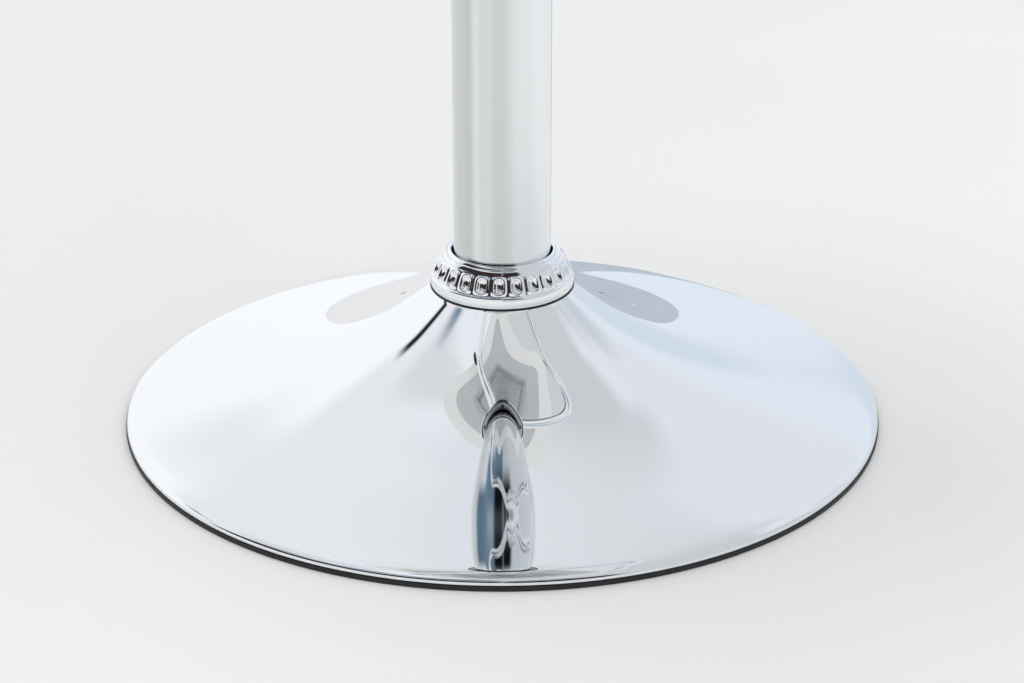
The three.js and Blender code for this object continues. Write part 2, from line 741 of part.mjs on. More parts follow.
// The seat's plan, moved in from its outer edge by a distance and then narrowed by a share
function seatPlan(insetBy, narrowing = 1) {
  return {
    left: -(seat.halfWidth - insetBy) * narrowing,
    right: (seat.halfWidth - insetBy) * narrowing,
    front: -(seat.frontReach - insetBy) * narrowing,
    rear: (seat.rearReach - insetBy) * narrowing,
    corner: seat.corner * narrowing,
    cornerSteps: seat.cornerSteps,
    sideSteps: seat.sideSteps,
    draw: seat.sideDraw * narrowing,
  };
}

function seatBoard() {
  const shape = flatShape({ ...seatPlan(board.inset), draw: 0, corner: board.corner });
  boltPlaces.forEach(([x, y]) => roundHole(shape, x, y, board.pilot));
  return sheetPiece(shape, boardBottom, boardTop);
}

// The padding wraps the board's edge, crowns over it and rolls up into a low lip at the rear
function seatCushion() {
  const rearRise = (point) => {
    const share = THREE.MathUtils.smoothstep(point.y, seat.lipStart, seat.rearReach);
    return seat.rearLip * share;
  };
  const pocket = { ...seatPlan(board.inset - gap), draw: 0, corner: board.corner };
  const sides = paddingShares.map(([inward, up]) => panelRing(
    seatPlan(seat.edgeInset * inward), (point) => boardBottom + up * (seat.sideHeight + rearRise(point))));
  const sideTop = paddingShares[paddingShares.length - 1];
  const crown = crownShares.map(([narrowing, rise]) => panelRing(
    seatPlan(seat.edgeInset * sideTop[0], narrowing),
    (point) => boardBottom + sideTop[1] * (seat.sideHeight + rearRise(point)) + rise * seat.crown));
  return loft([
    panelRing(pocket, () => boardTop + gap), panelRing(pocket, () => boardBottom), ...sides, ...crown,
  ]);
}

// The release lever: a cranked rod that rocks on a pin over the valve
function leverRod() {
  const at = (x, z) => new THREE.Vector3(x, 0, z);
  const path = bentPath([
    at(lever.innerEnd, lever.height), at(lever.wallX, lever.height), at(lever.dropX, lever.dropZ),
    at(lever.outerX, lever.outerZ), at(lever.tipX, lever.tipZ),
  ], [lever.bend, lever.bend, lever.bend / 2]);
  const rodAlone = sweep(path, lever.radius, lever.sides, lever.steps);
  const pinHole = new THREE.CylinderGeometry(
    pivot.radius + gap, pivot.radius + gap, lever.radius * 2 + overrun, smallFacets)
    .translate(lever.pivotX, 0, lever.height);
  return cut(rodAlone, pinHole);
}

function leverPaddle() {
  const direction = new THREE.Vector2(lever.tipX - lever.outerX, lever.tipZ - lever.outerZ);
  const bore = lever.radius + gap;
  const boreDepth = Math.abs(lever.tipX - paddle.rootX) + gap * 2;
  const geometry = revolve([
    [bore, 0], [paddle.rootRadius, 0], [paddle.radius, paddle.length / 3],
    [paddle.radius, (paddle.length * 3) / 4], [paddle.endRadius, paddle.length], [0, paddle.length],
    [0, boreDepth], [bore, boreDepth],
  ], smallFacets);
  const rootZ = THREE.MathUtils.mapLinear(
    paddle.rootX, lever.outerX, lever.tipX, lever.outerZ, lever.tipZ);
  return geometry.rotateY(Math.PI / 2 - direction.angle()).translate(paddle.rootX, 0, rootZ);
}

function leverBracket() {
  const bottom = plateFloorTop + gap;
  const top = lever.height + pivot.earWidth / 2;
  const outer = pivot.earHalf + pivot.earThickness;
  const stripTop = bottom + pivot.strip;
  const shape = new THREE.Shape([
    [-outer, bottom], [outer, bottom], [outer, top], [pivot.earHalf, top], [pivot.earHalf, stripTop],
    [-pivot.earHalf, stripTop], [-pivot.earHalf, top], [-outer, top],
  ].map(([y, z]) => new THREE.Vector2(y, z)));
  const channel = new THREE.ExtrudeGeometry(shape, { depth: pivot.earWidth, bevelEnabled: false })
    .rotateX(Math.PI / 2).rotateZ(Math.PI / 2).translate(lever.pivotX - pivot.earWidth / 2, 0, 0);
  const pinHole = new THREE.CylinderGeometry(
    pivot.radius + gap, pivot.radius + gap, outer * 2 + overrun, smallFacets)
    .translate(lever.pivotX, 0, lever.height);
  return cut(channel, pinHole);
}

const pivotPin = () => new THREE.CylinderGeometry(
  pivot.radius, pivot.radius, pivot.reach * 2, smallFacets).translate(lever.pivotX, 0, lever.height);

// The stool
const stool = new THREE.Group();
stool.name = 'counter_stool';

function add(group, name, geometry, material) {
  const mesh = new THREE.Mesh(facesOut(weld(geometry)), material);
  mesh.name = name;
  group.add(mesh);
  return mesh;
}

const base = new THREE.Group();
add(base, 'base_trumpet', baseTrumpet(), chrome);
add(base, 'base_rubber_ring', rubberRing(), blackRubber);
add(base, 'base_hub_socket', hubSocket(), zincSteel);
add(base, 'base_hub_plate', hubPlate(), zincSteel);
add(base, 'collar_ring', collarRing(), chrome).rotation.z = collar.dimplePhase;
add(base, 'guide_tube', guideTube(), chrome);
add(base, 'guide_tube_cap', tubeCap(), blackPlastic);
add(base, 'guide_bush', guideBush(), blackPlastic);
add(base, 'bearing_lower_race', lowerRace(), zincSteel);
add(base, 'bearing_ball_cage', ballCage(), zincSteel);

const swivel = new THREE.Group();
add(swivel, 'piston_rod', pistonRod(), chrome);
add(swivel, 'piston_head', pistonHead(), blackPlastic);
add(swivel, 'bearing_upper_race', upperRace(), zincSteel);
add(swivel, 'bump_rubber', bumpRubber(), blackRubber);
add(swivel, 'rod_washer', rodWasher(), zincSteel);
add(swivel, 'rod_clip', rodClip(), zincSteel);

const carriage = new THREE.Group();
add(carriage, 'gas_cylinder', gasCylinder(), chrome);
add(carriage, 'bell_sleeve', bellSleeve(), chrome);
add(carriage, 'bell_bush', bellBush(), blackPlastic);
add(carriage, 'bell_glide_ring', bellGlide(), blackPlastic);
add(carriage, 'footrest_loop', footrestLoop(), chrome);
add(carriage, 'footrest_grip', footrestGrip(), chrome);
add(carriage, 'taper_socket', taperSocket(), blackSteel);
add(carriage, 'seat_plate', seatPlate(), zincSteel);
boltPlaces.forEach((place, i) => add(carriage, `seat_bolt_${i + 1}`, seatBolt(place), zincSteel));
add(carriage, 'seat_underside_lining', undersideLining(), greyCloth);
add(carriage, 'seat_board', seatBoard(), plywood);
add(carriage, 'seat_cushion', seatCushion(), paleLeather);
add(carriage, 'lever_bracket', leverBracket(), blackSteel);

const release = new THREE.Group();
add(release, 'valve_pin', valvePin(), zincSteel);
add(release, 'lever_rod', leverRod(), chrome);
add(release, 'lever_paddle', leverPaddle(), blackPlastic);
add(release, 'lever_pivot_pin', pivotPin(), zincSteel);

stool.add(base, swivel, carriage, release);

export default stool;
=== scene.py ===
"""Looks of the counter stool: its finishes, its smooth visible pieces and the studio round it.

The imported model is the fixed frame. Lengths in the classes are millimetres in that frame: +Z is up, the
column stands on the Z axis, the footrest bar faces -Y and the lever comes out to -X.
"""

from __future__ import annotations

import json
import logging
import math
from dataclasses import dataclass
from enum import Enum
from typing import Callable, Iterable, Sequence

import bpy
from mathutils import Matrix, Vector

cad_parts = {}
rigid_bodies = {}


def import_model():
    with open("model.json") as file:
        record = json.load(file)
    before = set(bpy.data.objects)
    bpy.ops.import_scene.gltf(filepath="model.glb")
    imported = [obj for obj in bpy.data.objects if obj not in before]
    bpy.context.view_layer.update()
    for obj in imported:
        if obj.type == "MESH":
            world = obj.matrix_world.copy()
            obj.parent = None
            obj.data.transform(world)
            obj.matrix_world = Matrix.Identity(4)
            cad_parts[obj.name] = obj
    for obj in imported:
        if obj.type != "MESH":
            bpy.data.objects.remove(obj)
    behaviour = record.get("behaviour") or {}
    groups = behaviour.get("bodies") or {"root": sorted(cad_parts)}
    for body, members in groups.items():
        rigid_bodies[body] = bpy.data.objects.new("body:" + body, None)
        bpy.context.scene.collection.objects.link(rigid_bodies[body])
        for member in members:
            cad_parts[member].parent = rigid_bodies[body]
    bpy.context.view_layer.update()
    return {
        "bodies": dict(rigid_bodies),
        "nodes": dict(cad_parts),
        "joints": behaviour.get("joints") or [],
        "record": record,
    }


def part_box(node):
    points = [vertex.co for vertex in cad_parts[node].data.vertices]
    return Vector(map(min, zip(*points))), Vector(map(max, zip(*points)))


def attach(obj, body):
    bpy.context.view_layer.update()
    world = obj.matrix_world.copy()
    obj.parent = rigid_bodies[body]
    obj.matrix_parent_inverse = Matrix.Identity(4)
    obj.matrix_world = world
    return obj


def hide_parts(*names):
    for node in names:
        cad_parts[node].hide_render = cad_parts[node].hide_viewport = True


MM = 0.001
LOG = logging.getLogger("stool")
Point = tuple[float, float]


class Body(str, Enum):
    """The rigid bodies of the stool."""

    BASE = "base"
    ROD = "rod"
    CARRIAGE = "carriage"
    LEVER = "lever"
    VALVE = "valve"


# Shader sums


class Value:
    """A number that changes over a surface, to which Python's operators add Math nodes."""

    def __init__(self, board: Board, socket: bpy.types.NodeSocket) -> None:
        """Wraps a node's output socket.

        Args:
            board: The node board that the socket is on.
            socket: The output socket.
        """
        self.board = board
        self.socket = socket

    def maths(self, operation: str, other: Value | float = 0.0, swapped: bool = False) -> Value:
        """Adds one Math node.

        Args:
            operation: The Math node's operation.
            other: The second operand.
            swapped: Whether the second operand comes first.

        Returns:
            The node's result.
        """
        first, second = (other, self) if swapped else (self, other)
        node = self.board.add("ShaderNodeMath", {"operation": operation}, {0: first, 1: second})
        return Value(self.board, node.outputs[0])

    def __add__(self, other: Value | float) -> Value:
        """Returns self + other."""
        return self.maths("ADD", other)

    __radd__ = __add__

    def __sub__(self, other: Value | float) -> Value:
        """Returns self - other."""
        return self.maths("SUBTRACT", other)

    def __rsub__(self, other: Value | float) -> Value:
        """Returns other - self."""
        return self.maths("SUBTRACT", other, swapped=True)

    def __mul__(self, other: Value | float) -> Value:
        """Returns self * other."""
        return self.maths("MULTIPLY", other)

    __rmul__ = __mul__

    def __truediv__(self, other: Value | float) -> Value:
        """Returns self / other."""
        return self.maths("DIVIDE", other)

    def rising(self, start: float, end: float) -> Value:
        """Returns 0 below start, 1 above end and a smooth step between them.

        Args:
            start: The value up to which the result is 0.
            end: The value from which it is 1.

        Returns:
            The step.
        """
        node = self.board.add("ShaderNodeMapRange", {"interpolation_type": "SMOOTHSTEP", "clamp": True},
                              {0: self, 1: start, 2: end, 3: 0.0, 4: 1.0})
        return Value(self.board, node.outputs[0])

    def within(self, low: float, high: float, soft: float) -> Value:
        """Returns 1 between low and high and 0 outside, with smooth edges of width soft.

        Args:
            low: The lower edge.
            high: The upper edge.
            soft: The width of an edge.

        Returns:
            The band.
        """
        half = soft / 2
        return self.rising(low - half, low + half) * (1 - self.rising(high - half, high + half))


class Board:
    """A node tree to which nodes are added by one method."""

    def __init__(self, tree: bpy.types.NodeTree) -> None:
        """Empties the tree.

        Args:
            tree: The node tree of a material or of the world.
        """
        self.tree = tree
        tree.nodes.clear()

    def add(self, kind: str, settings: dict | None = None, feeds: dict | None = None) -> bpy.types.Node:
        """Adds one node.

        Args:
            kind: The node's type.
            settings: Its properties, and under "stops" a ramp's stops as (place, colour).
            feeds: The values or links of its sockets, by name or number.

        Returns:
            The node.
        """
        node = self.tree.nodes.new(kind)
        for key, value in (settings or {}).items():
            if key == "stops":
                self.set_stops(node, value)
            else:
                setattr(node, key, value)
        for key, value in (feeds or {}).items():
            self.feed(node.inputs[key], value)
        return node

    def feed(self, socket: bpy.types.NodeSocket, value: object) -> None:
        """Links a wrapped or bare output to a socket, or sets the socket's own value.

        Args:
            socket: The input socket.
            value: A value, an output socket, or a plain setting.
        """
        if isinstance(value, Value):
            self.tree.links.new(value.socket, socket)
        elif isinstance(value, bpy.types.NodeSocket):
            self.tree.links.new(value, socket)
        else:
            socket.default_value = value

    @staticmethod
    def set_stops(node: bpy.types.Node, stops: Sequence[tuple[float, tuple]]) -> None:
        """Sets a colour ramp's stops.

        Args:
            node: The ramp's node.
            stops: The stops as (place, colour).
        """
        elements = node.color_ramp.elements
        while len(elements) < len(stops):
            elements.new(1.0)
        for element, (place, colour) in zip(elements, stops):
            element.position = place
            element.color = (*colour, 1.0)

    def place(self, stretch: tuple = (1.0, 1.0, 1.0), turn: tuple = (0.0, 0.0, 0.0),
              source: str = "Object") -> bpy.types.NodeSocket:
        """Returns texture coordinates, stretched and turned.

        Args:
            stretch: The scale along each axis.
            turn: The turn about each axis in radians.
            source: The coordinates' name.

        Returns:
            The coordinates.
        """
        coordinates = self.add("ShaderNodeTexCoord")
        mapping = self.add("ShaderNodeMapping", {}, {"Vector": coordinates.outputs[source], "Scale": stretch,
                                                     "Rotation": turn})
        return mapping.outputs[0]

    def noise(self, scale: float, detail: float = 2.0, rough: float = 0.5, place: object = None) -> Value:
        """Returns a noise value of about 0.5, with features of about 1 / scale metres.

        Args:
            scale: The noise's scale.
            detail: Its number of finer layers.
            rough: How strong the finer layers are.
            place: Its coordinates, or none for the piece's own.

        Returns:
            The noise.
        """
        node = self.add("ShaderNodeTexNoise", {}, {"Vector": place or self.place(), "Scale": scale,
                                                   "Detail": detail, "Roughness": rough})
        return Value(self, node.outputs[0])

    def mixed(self, share: Value | float, first: object, second: object) -> bpy.types.NodeSocket:
        """Returns a colour mixed from two colours.

        Args:
            share: How much of the second colour there is.
            first: The first colour.
            second: The second colour.

        Returns:
            The mixed colour.
        """
        node = self.add("ShaderNodeMix", {"data_type": "RGBA"}, {"Factor": share})
        self.feed(node.inputs[6], first)
        self.feed(node.inputs[7], second)
        return node.outputs[2]

    def bump(self, height: Value, depth: float) -> bpy.types.NodeSocket:
        """Returns normals bumped by a height, whose whole range is depth metres deep."""
        node = self.add("ShaderNodeBump", {}, {"Height": height, "Distance": depth, "Strength": 1.0})
        return node.outputs[0]

    def surface(self, **feeds: object) -> None:
        """Ends a material with a Principled shader.

        Args:
            **feeds: The shader's inputs, by their names in small letters.
        """
        shader = self.add("ShaderNodeBsdfPrincipled")
        for name, value in feeds.items():
            self.feed(shader.inputs[name.replace("_", " ").title().replace("Ior", "IOR")], value)
        self.add("ShaderNodeOutputMaterial", {}, {"Surface": shader.outputs[0]})


def colour(red: float, green: float, blue: float) -> tuple[float, float, float, float]:
    """Returns a linear colour from screen values of 0 to 255.

    Args:
        red: Red on the screen.
        green: Green on the screen.
        blue: Blue on the screen.

    Returns:
        The linear colour with full alpha.
    """
    def linear(level: float) -> float:
        """Returns the linear light of one screen value."""
        share = level / 255
        return share / 12.92 if share <= 0.04045 else ((share + 0.055) / 1.055) ** 2.4
    return (linear(red), linear(green), linear(blue), 1.0)


# Finishes


@dataclass(frozen=True)
class Finish:
    """One surface finish and the record's slot that it belongs to."""

    name: str
    slot: str

    def material(self) -> bpy.types.Material:
        """Returns the finish's material, which is made once.

        Returns:
            The material.
        """
        made = bpy.data.materials.get(self.name)
        if made is None:
            made = bpy.data.materials.new(self.name)
            made.use_nodes = True
            self.paint(Board(made.node_tree))
        return made

    def paint(self, board: Board) -> None:
        """Adds the finish's nodes."""
        raise NotImplementedError


@dataclass(frozen=True)
class Chrome(Finish):
    """Mirror chrome plate, with the faint ripple and haze that plated steel has."""

    name: str = "chrome_plate"
    slot: str = "chrome"
    tint: tuple = (0.9, 0.915, 0.93, 1.0)
    haze: float = 0.012
    ripple: float = 0.00002
    ripple_scale: float = 22.0

    def paint(self, board: Board) -> None:
        """Adds the nodes of plated steel.

        Args:
            board: The material's node board.
        """
        haze = board.noise(14.0, 4.0) * 0.02 + self.haze
        ripple = board.noise(self.ripple_scale, 1.0)
        board.surface(base_color=self.tint, metallic=1.0, roughness=haze,
                      normal=board.bump(ripple, self.ripple))


@dataclass(frozen=True)
class ReflectionBandedChrome(Chrome):
    """Chrome over drawn tube with fine draw lines up it, and painted reflections: bands of different
    brightness and a bluish tint by azimuth round the tube.
    """

    name: str = "tube_chrome_painted_reflections"
    # Painted reflections: brightness by azimuth in degrees round the tube
    bands: tuple[Point, ...] = (
        (-180, 0.85), (-150, 0.82), (-120, 0.87), (-104, 0.74), (-91, 0.7), (-76, 0.67), (-69.5, 0.65),
        (-66, 0.73), (-63.7, 0.8), (-58, 0.86), (-55, 0.77), (-53, 0.75), (-48, 0.76), (-43, 0.75),
        (-39, 0.69), (-34, 0.67), (-29, 0.68), (-25, 0.71), (-20, 0.76), (-15, 0.83), (-10, 0.84),
        (5, 0.88), (17, 0.92), (25, 0.91), (34, 0.9), (48, 0.89), (60, 0.9), (120, 0.82), (180, 0.85),
    )
    # How much more green and blue than red the painted reflection bands are, a painted bluish reflection
    green: float = 1.025
    blue: float = 1.035

    def paint(self, board: Board) -> None:
        """Adds the nodes of the plate with its painted reflection bands.

        Args:
            board: The material's node board.
        """
        split = board.add("ShaderNodeSeparateXYZ", {}, {"Vector": board.place()})
        x, y, _ = (Value(board, output) for output in split.outputs)
        share = x.maths("ARCTAN2", y * -1.0) / math.tau + 0.5
        # Painted reflections: the bands' brightness and bluish tint are painted into the base colour by
        # azimuth, fixed to the tube
        stops = [(angle / 360 + 0.5, (level, level * self.green, level * self.blue))
                 for angle, level in self.bands]
        ramp = board.add("ShaderNodeValToRGB", {"stops": stops}, {"Fac": share})
        lines = board.noise(420.0, 3.0, 0.6, board.place((1.0, 1.0, 0.01)))
        ripple = board.noise(self.ripple_scale, 1.0)
        tone = board.mixed(lines * 0.1, ramp.outputs[0], colour(170, 174, 178))
        board.surface(base_color=tone, metallic=1.0, roughness=lines * 0.03 + self.haze,
                      normal=board.bump(ripple, self.ripple))


@dataclass(frozen=True)
class ZincPlate(Finish):
    """Zinc-plated steel with a drawn grain."""

    name: str = "zinc_plate"
    slot: str = "zinc_steel"

    def paint(self, board: Board) -> None:
        """Adds the nodes of zinc plate.

        Args:
            board: The material's node board.
        """
        cloud = board.noise(60.0, 5.0, 0.6)
        grain = board.noise(400.0, 3.0, 0.7, board.place((1.0, 1.0, 0.15)))
        board.surface(base_color=board.mixed(cloud, colour(176, 179, 181), colour(204, 206, 206)),
                      metallic=1.0, roughness=cloud * 0.2 + 0.25, normal=board.bump(grain, 0.00004))


@dataclass(frozen=True)
class PowderCoat(Finish):
    """Black powder coat with its fine orange peel."""

    name: str = "black_powder_coat"
    slot: str = "black_steel"

    def paint(self, board: Board) -> None:
        """Adds the nodes of powder coat.

        Args:
            board: The material's node board.
        """
        peel = board.noise(900.0, 2.0)
        dust = board.noise(20.0, 5.0, 0.6).rising(0.45, 0.8)
        board.surface(base_color=board.mixed(dust, colour(26, 27, 29), colour(44, 45, 47)),
                      roughness=peel * 0.15 + 0.4, normal=board.bump(peel, 0.00008))


@dataclass(frozen=True)
class BlackPlastic(Finish):
    """Moulded black plastic with a fine spark-eroded texture."""

    name: str = "moulded_plastic"
    slot: str = "black_plastic"

    def paint(self, board: Board) -> None:
        """Adds the nodes of moulded plastic.

        Args:
            board: The material's node board.
        """
        texture = board.noise(2200.0, 2.0, 0.6)
        wear = board.noise(35.0, 4.0).rising(0.5, 0.85)
        board.surface(base_color=board.mixed(wear, colour(20, 21, 23), colour(38, 39, 41)),
                      roughness=texture * 0.2 + 0.35, normal=board.bump(texture, 0.00005))


@dataclass(frozen=True)
class BlackRubber(Finish):
    """Black extruded rubber, dusty where it meets the floor."""

    name: str = "extruded_rubber"
    slot: str = "black_rubber"

    def paint(self, board: Board) -> None:
        """Adds the nodes of extruded rubber.

        Args:
            board: The material's node board.
        """
        lines = board.noise(700.0, 2.0, 0.5, board.place((0.08, 0.08, 1.0)))
        dust = board.noise(90.0, 6.0, 0.7).rising(0.48, 0.8)
        board.surface(base_color=board.mixed(dust, colour(24, 25, 29), colour(52, 53, 57)),
                      roughness=dust * 0.25 + 0.5, normal=board.bump(lines, 0.00005))


@dataclass(frozen=True)
class SeatCover(Finish):
    """Off-white upholstery with a pebbled grain."""

    name: str = "pale_upholstery"
    slot: str = "pale_upholstery"

    def paint(self, board: Board) -> None:
        """Adds the nodes of grained upholstery.

        Args:
            board: The material's node board.
        """
        cells = board.add("ShaderNodeTexVoronoi", {"feature": "DISTANCE_TO_EDGE"},
                          {"Vector": board.place(), "Scale": 620.0, "Randomness": 0.9})
        pebble = Value(board, cells.outputs[0]).rising(0.0, 0.12)
        pores = board.noise(2400.0, 2.0, 0.6)
        shade = board.noise(9.0, 4.0, 0.6)
        grain = pebble * 0.8 + pores * 0.2
        tone = board.mixed(shade, colour(198, 198, 196), colour(209, 209, 207))
        board.surface(base_color=board.mixed(pebble, colour(186, 185, 182), tone),
                      roughness=0.62 - pebble * 0.12 + shade * 0.06, normal=board.bump(grain, 0.00022),
                      coat_weight=0.06, coat_roughness=0.4)


@dataclass(frozen=True)
class Stitching(Finish):
    """Twisted off-white thread."""

    name: str = "seam_thread"
    slot: str = "pale_upholstery"

    def paint(self, board: Board) -> None:
        """Adds the nodes of thread.

        Args:
            board: The material's node board.
        """
        twist = board.noise(3000.0, 1.0, 0.5, board.place((1.0, 1.0, 1.6), (0.6, 0.6, 0.0)))
        board.surface(base_color=board.mixed(twist, colour(186, 184, 178), colour(222, 221, 217)),
                      roughness=0.7, normal=board.bump(twist, 0.0002))


@dataclass(frozen=True)
class LiningCloth(Finish):
    """Grey spun-bonded lining cloth."""

    name: str = "lining_cloth"
    slot: str = "grey_cloth"

    def paint(self, board: Board) -> None:
        """Adds the nodes of lining cloth.

        Args:
            board: The material's node board.
        """
        along = board.add("ShaderNodeTexWave", {"bands_direction": "X"},
                          {"Vector": board.place(), "Scale": 160.0, "Distortion": 1.5, "Detail": 2.0})
        across = board.add("ShaderNodeTexWave", {"bands_direction": "Y"},
                           {"Vector": board.place(), "Scale": 160.0, "Distortion": 1.5, "Detail": 2.0})
        weave = Value(board, along.outputs[1]) * 0.5 + Value(board, across.outputs[1]) * 0.5
        fleck = board.noise(500.0, 4.0, 0.7)
        board.surface(base_color=board.mixed(fleck, colour(196, 200, 201), colour(216, 219, 219)),
                      roughness=0.9, normal=board.bump(weave + fleck * 0.5, 0.0003), sheen_weight=0.15)


@dataclass(frozen=True)
class Plywood(Finish):
    """Birch plywood with its grain along X and its layers at the edge."""

    name: str = "birch_plywood"
    slot: str = "plywood"

    def paint(self, board: Board) -> None:
        """Adds the nodes of plywood.

        Args:
            board: The material's node board.
        """
        grain = board.noise(40.0, 6.0, 0.65, board.place((0.12, 1.0, 1.0)))
        layers = board.add("ShaderNodeTexWave", {"bands_direction": "Z", "wave_profile": "SAW"},
                           {"Vector": board.place(), "Scale": 110.0, "Distortion": 0.2})
        edge = Value(board, layers.outputs[1]).rising(0.35, 0.65)
        face = board.mixed(grain.rising(0.35, 0.7), colour(214, 184, 138), colour(176, 139, 94))
        board.surface(base_color=board.mixed(edge * 0.35, face, colour(140, 105, 70)),
                      roughness=grain * 0.2 + 0.55, normal=board.bump(grain, 0.0002))


@dataclass(frozen=True)
class StudioFloor(Finish):
    """Plain off-white floor paper with faint mottling."""

    name: str = "floor_paper"
    slot: str = ""

    def paint(self, board: Board) -> None:
        """Adds the nodes of floor paper.

        Args:
            board: The material's node board.
        """
        mottle = board.noise(3.5, 5.0, 0.55)
        fleck = board.noise(260.0, 3.0, 0.6)
        tone = board.mixed(mottle, colour(245, 242, 240), colour(249, 247, 244))
        board.surface(base_color=board.mixed(fleck * 0.12, tone, colour(226, 224, 222)), roughness=0.85)


@dataclass(frozen=True)
class SlateCard(Finish):
    """A dull slate card that only the chrome shows."""

    name: str = "slate_card"
    slot: str = ""

    def paint(self, board: Board) -> None:
        """Adds the nodes of mottled card.

        Args:
            board: The material's node board.
        """
        mottle = board.noise(6.0, 5.0, 0.6)
        tone = board.mixed(mottle, colour(182, 192, 203), colour(201, 208, 216))
        board.surface(base_color=tone, roughness=0.9)


CHROME = Chrome()
REFLECTION_BANDED_CHROME = ReflectionBandedChrome()
ZINC = ZincPlate()
COAT = PowderCoat()
PLASTIC = BlackPlastic()
RUBBER = BlackRubber()
COVER = SeatCover()
THREAD = Stitching()
LINING = LiningCloth()
PLY = Plywood()
FLOOR = StudioFloor()
SLATE = SlateCard()


# Modelling


class Workbench:
    """Models pieces with Blender's own operators, one at a time."""

    SHARP = math.radians(32)
    WELD = 2e-6

    @staticmethod
    def clear() -> None:
        """Deselects everything."""
        if bpy.context.mode != "OBJECT":
            bpy.ops.object.mode_set(mode="OBJECT")
        bpy.ops.object.select_all(action="DESELECT")

    @classmethod
    def start(cls, name: str) -> bpy.types.Object:
        """Names the primitive that was just added and opens it for editing.

        Args:
            name: The piece's name.

        Returns:
            The piece.
        """
        piece = bpy.context.active_object
        piece.name = name
        piece.data.name = name
        bpy.ops.object.mode_set(mode="EDIT")
        bpy.ops.mesh.select_mode(type="VERT")
        return piece

    @classmethod
    def close(cls, piece: bpy.types.Object, sharp: float | None = None) -> bpy.types.Object:
        """Welds a piece, turns its faces outward, bakes its place and shades it smooth.

        Args:
            piece: The piece, open for editing or not.
            sharp: The angle in radians above which an edge stays sharp.

        Returns:
            The piece.
        """
        if bpy.context.mode != "EDIT_MESH":
            bpy.ops.object.mode_set(mode="EDIT")
        bpy.ops.mesh.select_all(action="SELECT")
        bpy.ops.mesh.remove_doubles(threshold=cls.WELD)
        bpy.ops.mesh.normals_make_consistent(inside=False)
        bpy.ops.object.mode_set(mode="OBJECT")
        bpy.ops.object.transform_apply(location=True, rotation=True, scale=True)
        bpy.ops.object.shade_smooth_by_angle(angle=cls.SHARP if sharp is None else sharp)
        return piece

    @classmethod
    def turned(cls, name: str, outline: Sequence[Point], steps: int = 192, sharp: float | None = None,
               closed: bool = True) -> bpy.types.Object:
        """Spins an outline round the Z axis.

        Args:
            name: The piece's name.
            outline: (radius, height) points in millimetres.
            steps: Facets round the piece.
            sharp: The angle in radians above which an edge stays sharp.
            closed: Whether the last point joins the first.

        Returns:
            The turned piece.
        """
        cls.clear()
        bpy.ops.mesh.primitive_plane_add(size=MM, location=(0, 0, 0))
        piece = cls.start(name)
        bpy.ops.mesh.merge(type="CENTER")
        points = [*outline, outline[0]] if closed else list(outline)
        bpy.ops.transform.translate(value=(points[0][0] * MM, 0, points[0][1] * MM))
        for (radius, height), (next_radius, next_height) in zip(points, points[1:]):
            step = ((next_radius - radius) * MM, 0, (next_height - height) * MM)
            bpy.ops.mesh.extrude_vertices_move(TRANSFORM_OT_translate={"value": step})
        bpy.ops.mesh.select_all(action="SELECT")
        bpy.ops.mesh.remove_doubles(threshold=cls.WELD)
        bpy.ops.mesh.spin(steps=steps, angle=math.tau, center=(0, 0, 0), axis=(0, 0, 1), use_auto_merge=True)
        return cls.close(piece, sharp)

    @classmethod
    def tube(cls, name: str, path: Sequence[Vector], radius: float, sides: int = 24,
             looped: bool = False) -> bpy.types.Object:
        """Bends a round tube with closed ends along a path.

        Args:
            name: The piece's name.
            path: Points in millimetres.
            radius: The tube's radius in millimetres.
            sides: Facets round the tube.
            looped: Whether the path's last point joins the first.

        Returns:
            The tube.
        """
        cls.clear()
        bpy.ops.curve.primitive_nurbs_path_add(location=(0, 0, 0))
        line = bpy.context.active_object
        line.data.splines.clear()
        spline = line.data.splines.new("POLY")
        spline.points.add(len(path) - 1)
        spline.use_cyclic_u = looped
        for point, place in zip(spline.points, path):
            point.co = (*(place * MM), 1.0)
        line.data.bevel_depth = radius * MM
        line.data.bevel_resolution = sides // 2 - 2
        line.data.use_fill_caps = True
        line.data.twist_mode = "MINIMUM"
        bpy.ops.object.convert(target="MESH")
        piece = cls.start(name)
        return cls.close(piece)

    @classmethod
    def slab(cls, name: str, half_x: float, half_y: float, corner: float, bottom: float, top: float,
             edge: float = 0.0, middle: Point = (0.0, 0.0), segments: int = 10) -> bpy.types.Object:
        """Makes a flat piece with rounded corners and eased edges.

        Args:
            name: The piece's name.
            half_x: Half its width.
            half_y: Half its depth.
            corner: The radius of its upright corners.
            bottom: The height of its underside.
            top: The height of its top.
            edge: The radius of its upper and lower edges.
            middle: The place of its centre.
            segments: Facets round a corner.

        Returns:
            The piece.
        """
        cls.clear()
        centre = (middle[0] * MM, middle[1] * MM, (bottom + top) / 2 * MM)
        size = (2 * half_x * MM, 2 * half_y * MM, (top - bottom) * MM)
        bpy.ops.mesh.primitive_cube_add(size=1, location=centre, scale=size)
        piece = bpy.context.active_object
        bpy.ops.object.transform_apply(location=True, rotation=True, scale=True)
        cls.start(name)
        cls.pick_edges(piece, lambda a, b: abs(a.z - b.z) > MM)
        bpy.ops.mesh.bevel(offset=corner * MM, segments=segments, affect="EDGES")
        if edge:
            cls.pick_edges(piece, lambda a, b: abs(a.z - b.z) < MM * 0.01)
            bpy.ops.mesh.bevel(offset=edge * MM, segments=4, affect="EDGES")
        return cls.close(piece)

    @staticmethod
    def pick_edges(piece: bpy.types.Object, wanted: Callable[[Vector, Vector], bool]) -> None:
        """Selects the edges whose two ends pass a test.

        Args:
            piece: The piece, open for editing.
            wanted: The test, which gets an edge's two ends.
        """
        bpy.ops.mesh.select_mode(type="EDGE")
        bpy.ops.mesh.select_all(action="DESELECT")
        bpy.ops.object.mode_set(mode="OBJECT")
        vertices = piece.data.vertices
        for edge in piece.data.edges:
            edge.select = wanted(*(vertices[i].co for i in edge.vertices))
        bpy.ops.object.mode_set(mode="EDIT")

